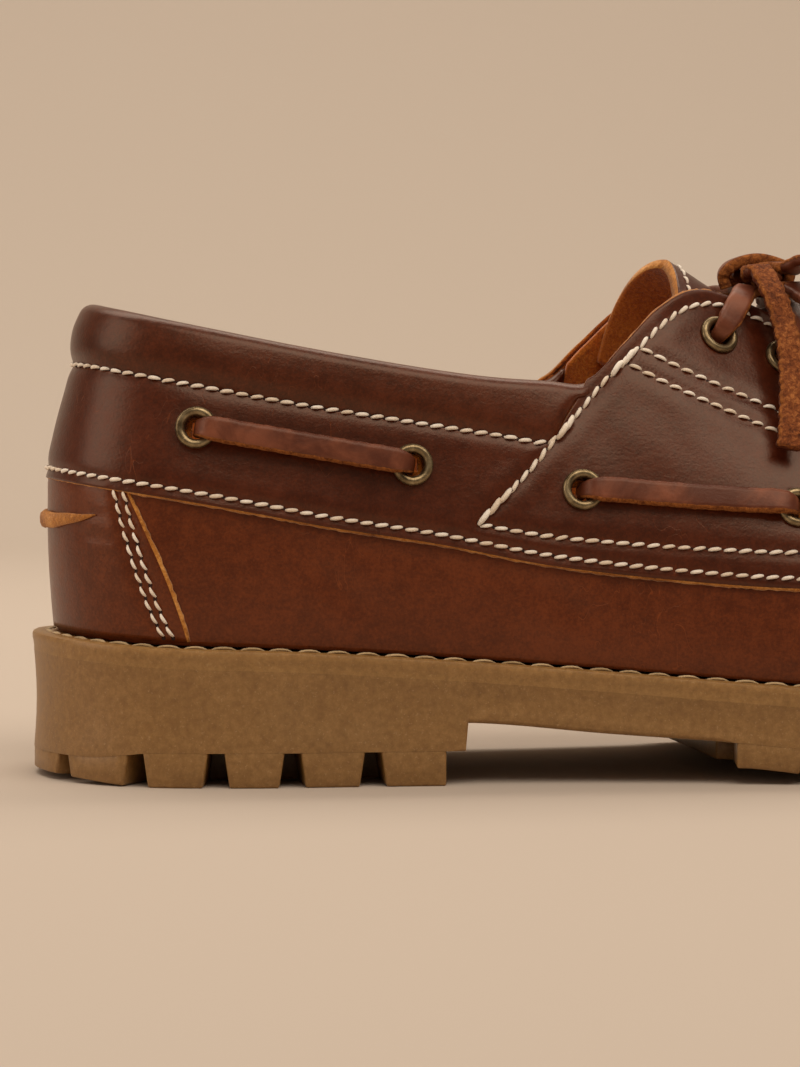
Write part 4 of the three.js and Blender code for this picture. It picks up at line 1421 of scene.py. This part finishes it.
def side_bars():
    for side, label in SIDES:
        for number, where in ((1, "back"), (3, "front")):
            first, last = f"side_{number}_{label}", f"side_{number + 1}_{label}"
            p, q = EYELETS[first][0], EYELETS[last][0]
            middle = []
            for t, lift in ((0.2, 2.35), (0.36, 2.15), (0.52, 2.1), (0.68, 2.15), (0.82, 2.4)):
                at = p + (q - p) * t
                middle.append((*spot(to_u(at[0]), at[2], side, lift), FULL))
            run = laid(first, last, middle)
            lace(f"side_lace_{where}_{label}", run, 110, f"lace_bar_{where}_{label}")


def facing_edge(u, side):
    """The rim of a facing at distance u, and the way out of the wall there."""
    rows = np.linspace(9, THROAT, 400)
    rim = wall(-side * rows, np.ones_like(rows))
    a = np.interp(to_x(u), rim[:, 0], rows)
    return wall(-side * a, 1), wall_normal(-side * a, 1)


def over_tongue(u_near, u_far, side, middle, lift):
    """A lace's way over the rims of both facings, from side across, and over the tongue between."""
    stations = []
    for u, s in ((u_near, side), (u_far, -side)):
        point, normal = facing_edge(u, s)
        facing = unit(normal + UP)
        stations.append((point + facing * (LIFT - 0.5), facing, FULL))
    stations.insert(1, ((to_x(middle[0]), 0, middle[1] + lift), (0, 0, 1), FULL))
    return stations


def cross_laces():
    run = laid("facing_3_lateral", "facing_2_medial", over_tongue(160.5, 153.5, -1, (157, 93.2), 0.1))
    lace("crossed_lace_lateral", run, 100, "lace_crossing")
    run = laid("facing_3_medial", "facing_2_lateral", over_tongue(160.5, 153.5, 1, (157, 93.2), 2.4))
    lace("crossed_lace_medial", run, 100)
    run = laid("facing_1_lateral", "facing_1_medial", over_tongue(143, 143, -1, (147.5, 97.6), 0))
    lace("top_lace", run, 110, "lace_top")


# the bow's loop and end on one side: distance from the heel's back, place across, height
LOOP = [
    (154, -8.8, 102), (156.5, -13.5, 103.8), (159.5, -20, 102.6), (162.5, -27, 97.5), (165, -33.5, 89),
    (166, -37.5, 79.5), (165.5, -39.2, 73.5), (164, -37.6, 70.5), (162.5, -33.8, 74.5), (160.5, -29, 82),
    (158.5, -23, 89.5), (156.5, -16.5, 95.5), (154.5, -10, 98.4),
]
END = [
    (147, -8.6, 101.4), (147.3, -12.5, 101.6), (148.3, -16.8, 98), (149.6, -20.6, 92.2),
    (150.1, -24.6, 85.4), (149.5, -28.6, 78.4), (148.4, -32.4, 71.4), (147.2, -35.2, 66),
]


def hung(name, places, side, node):
    """A hanging run of the bow, its width along the shoe."""
    line = np.array([(to_x(u), -side * y, z) for u, y, z in places])
    along = unit(np.gradient(line, axis=0))
    facings = np.cross(np.array([1.0, 0, 0]), along)
    stations = [(p, f, FULL) for p, f in zip(line, facings)]
    piece, centre = strap(name, stations, 140, ragged=0.45)
    finish(piece, [LACE], [node])


def bow():
    for side, label in SIDES:
        hung(f"bow_loop_{label}", LOOP, side, f"lace_loop_{label}")
        hung(f"bow_end_{label}", END, side, f"lace_end_{label}")


KNOT_HUB = (149.5, 0, 99.5)  # the wrap turns round this point
KNOT_WRAP = [
    (143.6, 1.5, 98.9), (142.9, 1.2, 101.2), (144.8, 0.6, 103.3), (149.2, 0, 104.2), (153.9, -0.6, 103.4),
    (156.2, -1.1, 101.2), (155.4, -1.3, 99),
]
KNOT_RUNS = (  # out to a loop, out to an end, and the loop's way back under the wrap
    [(148.5, 3.5, 100.6), (150.2, -1, 102.0), (152.4, -5, 102.6), (154.2, -9.4, 102.2)],
    [(150.8, 3.5, 99.4), (149.4, -0.5, 100.6), (147.8, -4.8, 101.5), (147, -9, 101.5)],
    [(151, 2, 97.6), (152.4, -2.5, 98.2), (153.6, -6.5, 98.3), (154.6, -10.6, 98.3)],
)


def knot_strap(number, places, section, hub=None):
    line = np.array([(to_x(u), y, z) for u, y, z in places])
    stations = [(p, UP if hub is None else p - hub, section) for p in line]
    return strap(f"knot_{number}", stations, 60, ragged=0.5)[0]


def knot():
    hub = np.array([to_x(KNOT_HUB[0]), *KNOT_HUB[1:]])
    parts = [knot_strap(0, KNOT_WRAP, (6.2, 2.4), hub)]
    for side in (-1, 1):
        for places in KNOT_RUNS:
            parts.append(knot_strap(len(parts), [(u, -side * y, z) for u, y, z in places], (5.4, 2.3)))
    finish(join("bow_knot", parts), [LACE], ["lace_knot"])


# ------------------------------------------------------------------ tongue
# distance from the heel's back, height, half width, fall to its edges, how far its corners trail
TONGUE = [
    (187, 75.9, 17, 0.02, 0), (178, 78.8, 17.5, 0.026, 0), (165, 85, 18.5, 0.036, 0),
    (150, 92.6, 20, 0.05, 0), (139.6, 98.3, 21, 0.053, 0), (134.2, 101.6, 21.5, 0.047, 2),
    (130.4, 103.9, 21.5, 0.042, 5),
]
TONGUE_LINE = even(on_curve(TONGUE), 60)
TONGUE_SEAM = 56.2  # where on the line its stitches run across
TONGUE_SKEW = 2.2  # its free end leans towards the medial side
TONGUE_BULGE = 4.1


def tongue_surface(i, w):
    """A point of the tongue at step i of its line, with w from -1 to 1 across it."""
    rows = sampled(i, np.arange(len(TONGUE_LINE)), TONGUE_LINE)
    u, z, half, fall, trail = np.moveaxis(rows, -1, 0)
    free = smooth(0.7, 1, i / (len(TONGUE_LINE) - 1))
    y = w * half
    ripple = 0.5 * free * np.sin(w * 5.2 + 0.6)
    bulge = TONGUE_BULGE * np.sin(2.45 * np.maximum(w, 0))
    swept = trail * w * w + free * (TONGUE_SKEW * w + bulge)
    return np.stack([to_x(u - swept), y, z - fall * y * y + ripple], -1)


def tongue_seam():
    w = np.linspace(-0.86, 0.86, 160)
    i = np.full_like(w, TONGUE_SEAM)
    e = 0.05
    points = tongue_surface(i, w)
    normals = np.cross(tongue_surface(i, w + e) - points, tongue_surface(i - 1, w) - points)
    normals = facing_up(unit(normals))
    points, normals = even(points, round(steps_along(points).sum() / PITCH) + 1, normals)
    seams.append((points, normals, 1.0))


def tongue():
    steps = np.linspace(0, len(TONGUE_LINE) - 1, 110)
    i, w = np.meshgrid(steps, np.linspace(-1, 1, 81), indexing="ij")
    points = tongue_surface(i, w)
    wear = bell(i, TONGUE_SEAM, 2.0) * 0.7
    piece = skin("tongue_leather", points, flip=True, fields={"wear": wear})
    panel(piece, 2.2, UPPER, ["tongue"])


def insole():
    """The CAD's insole stays, with a finish of its own."""
    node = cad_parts["insole"]
    node.data.materials.clear()
    node.data.materials.append(INSOLE_SUEDE)


bow()
knot()
cross_laces()
side_bars()
tongue_seam()
outsole()
midsole()
welt_stitching()
vamp()
quarter()
collar()
lining()
toe_lining()
counter()
heel_tuck()
plug_piece()
moc_seam()
tongue()
stitching()
eyelets()
insole()
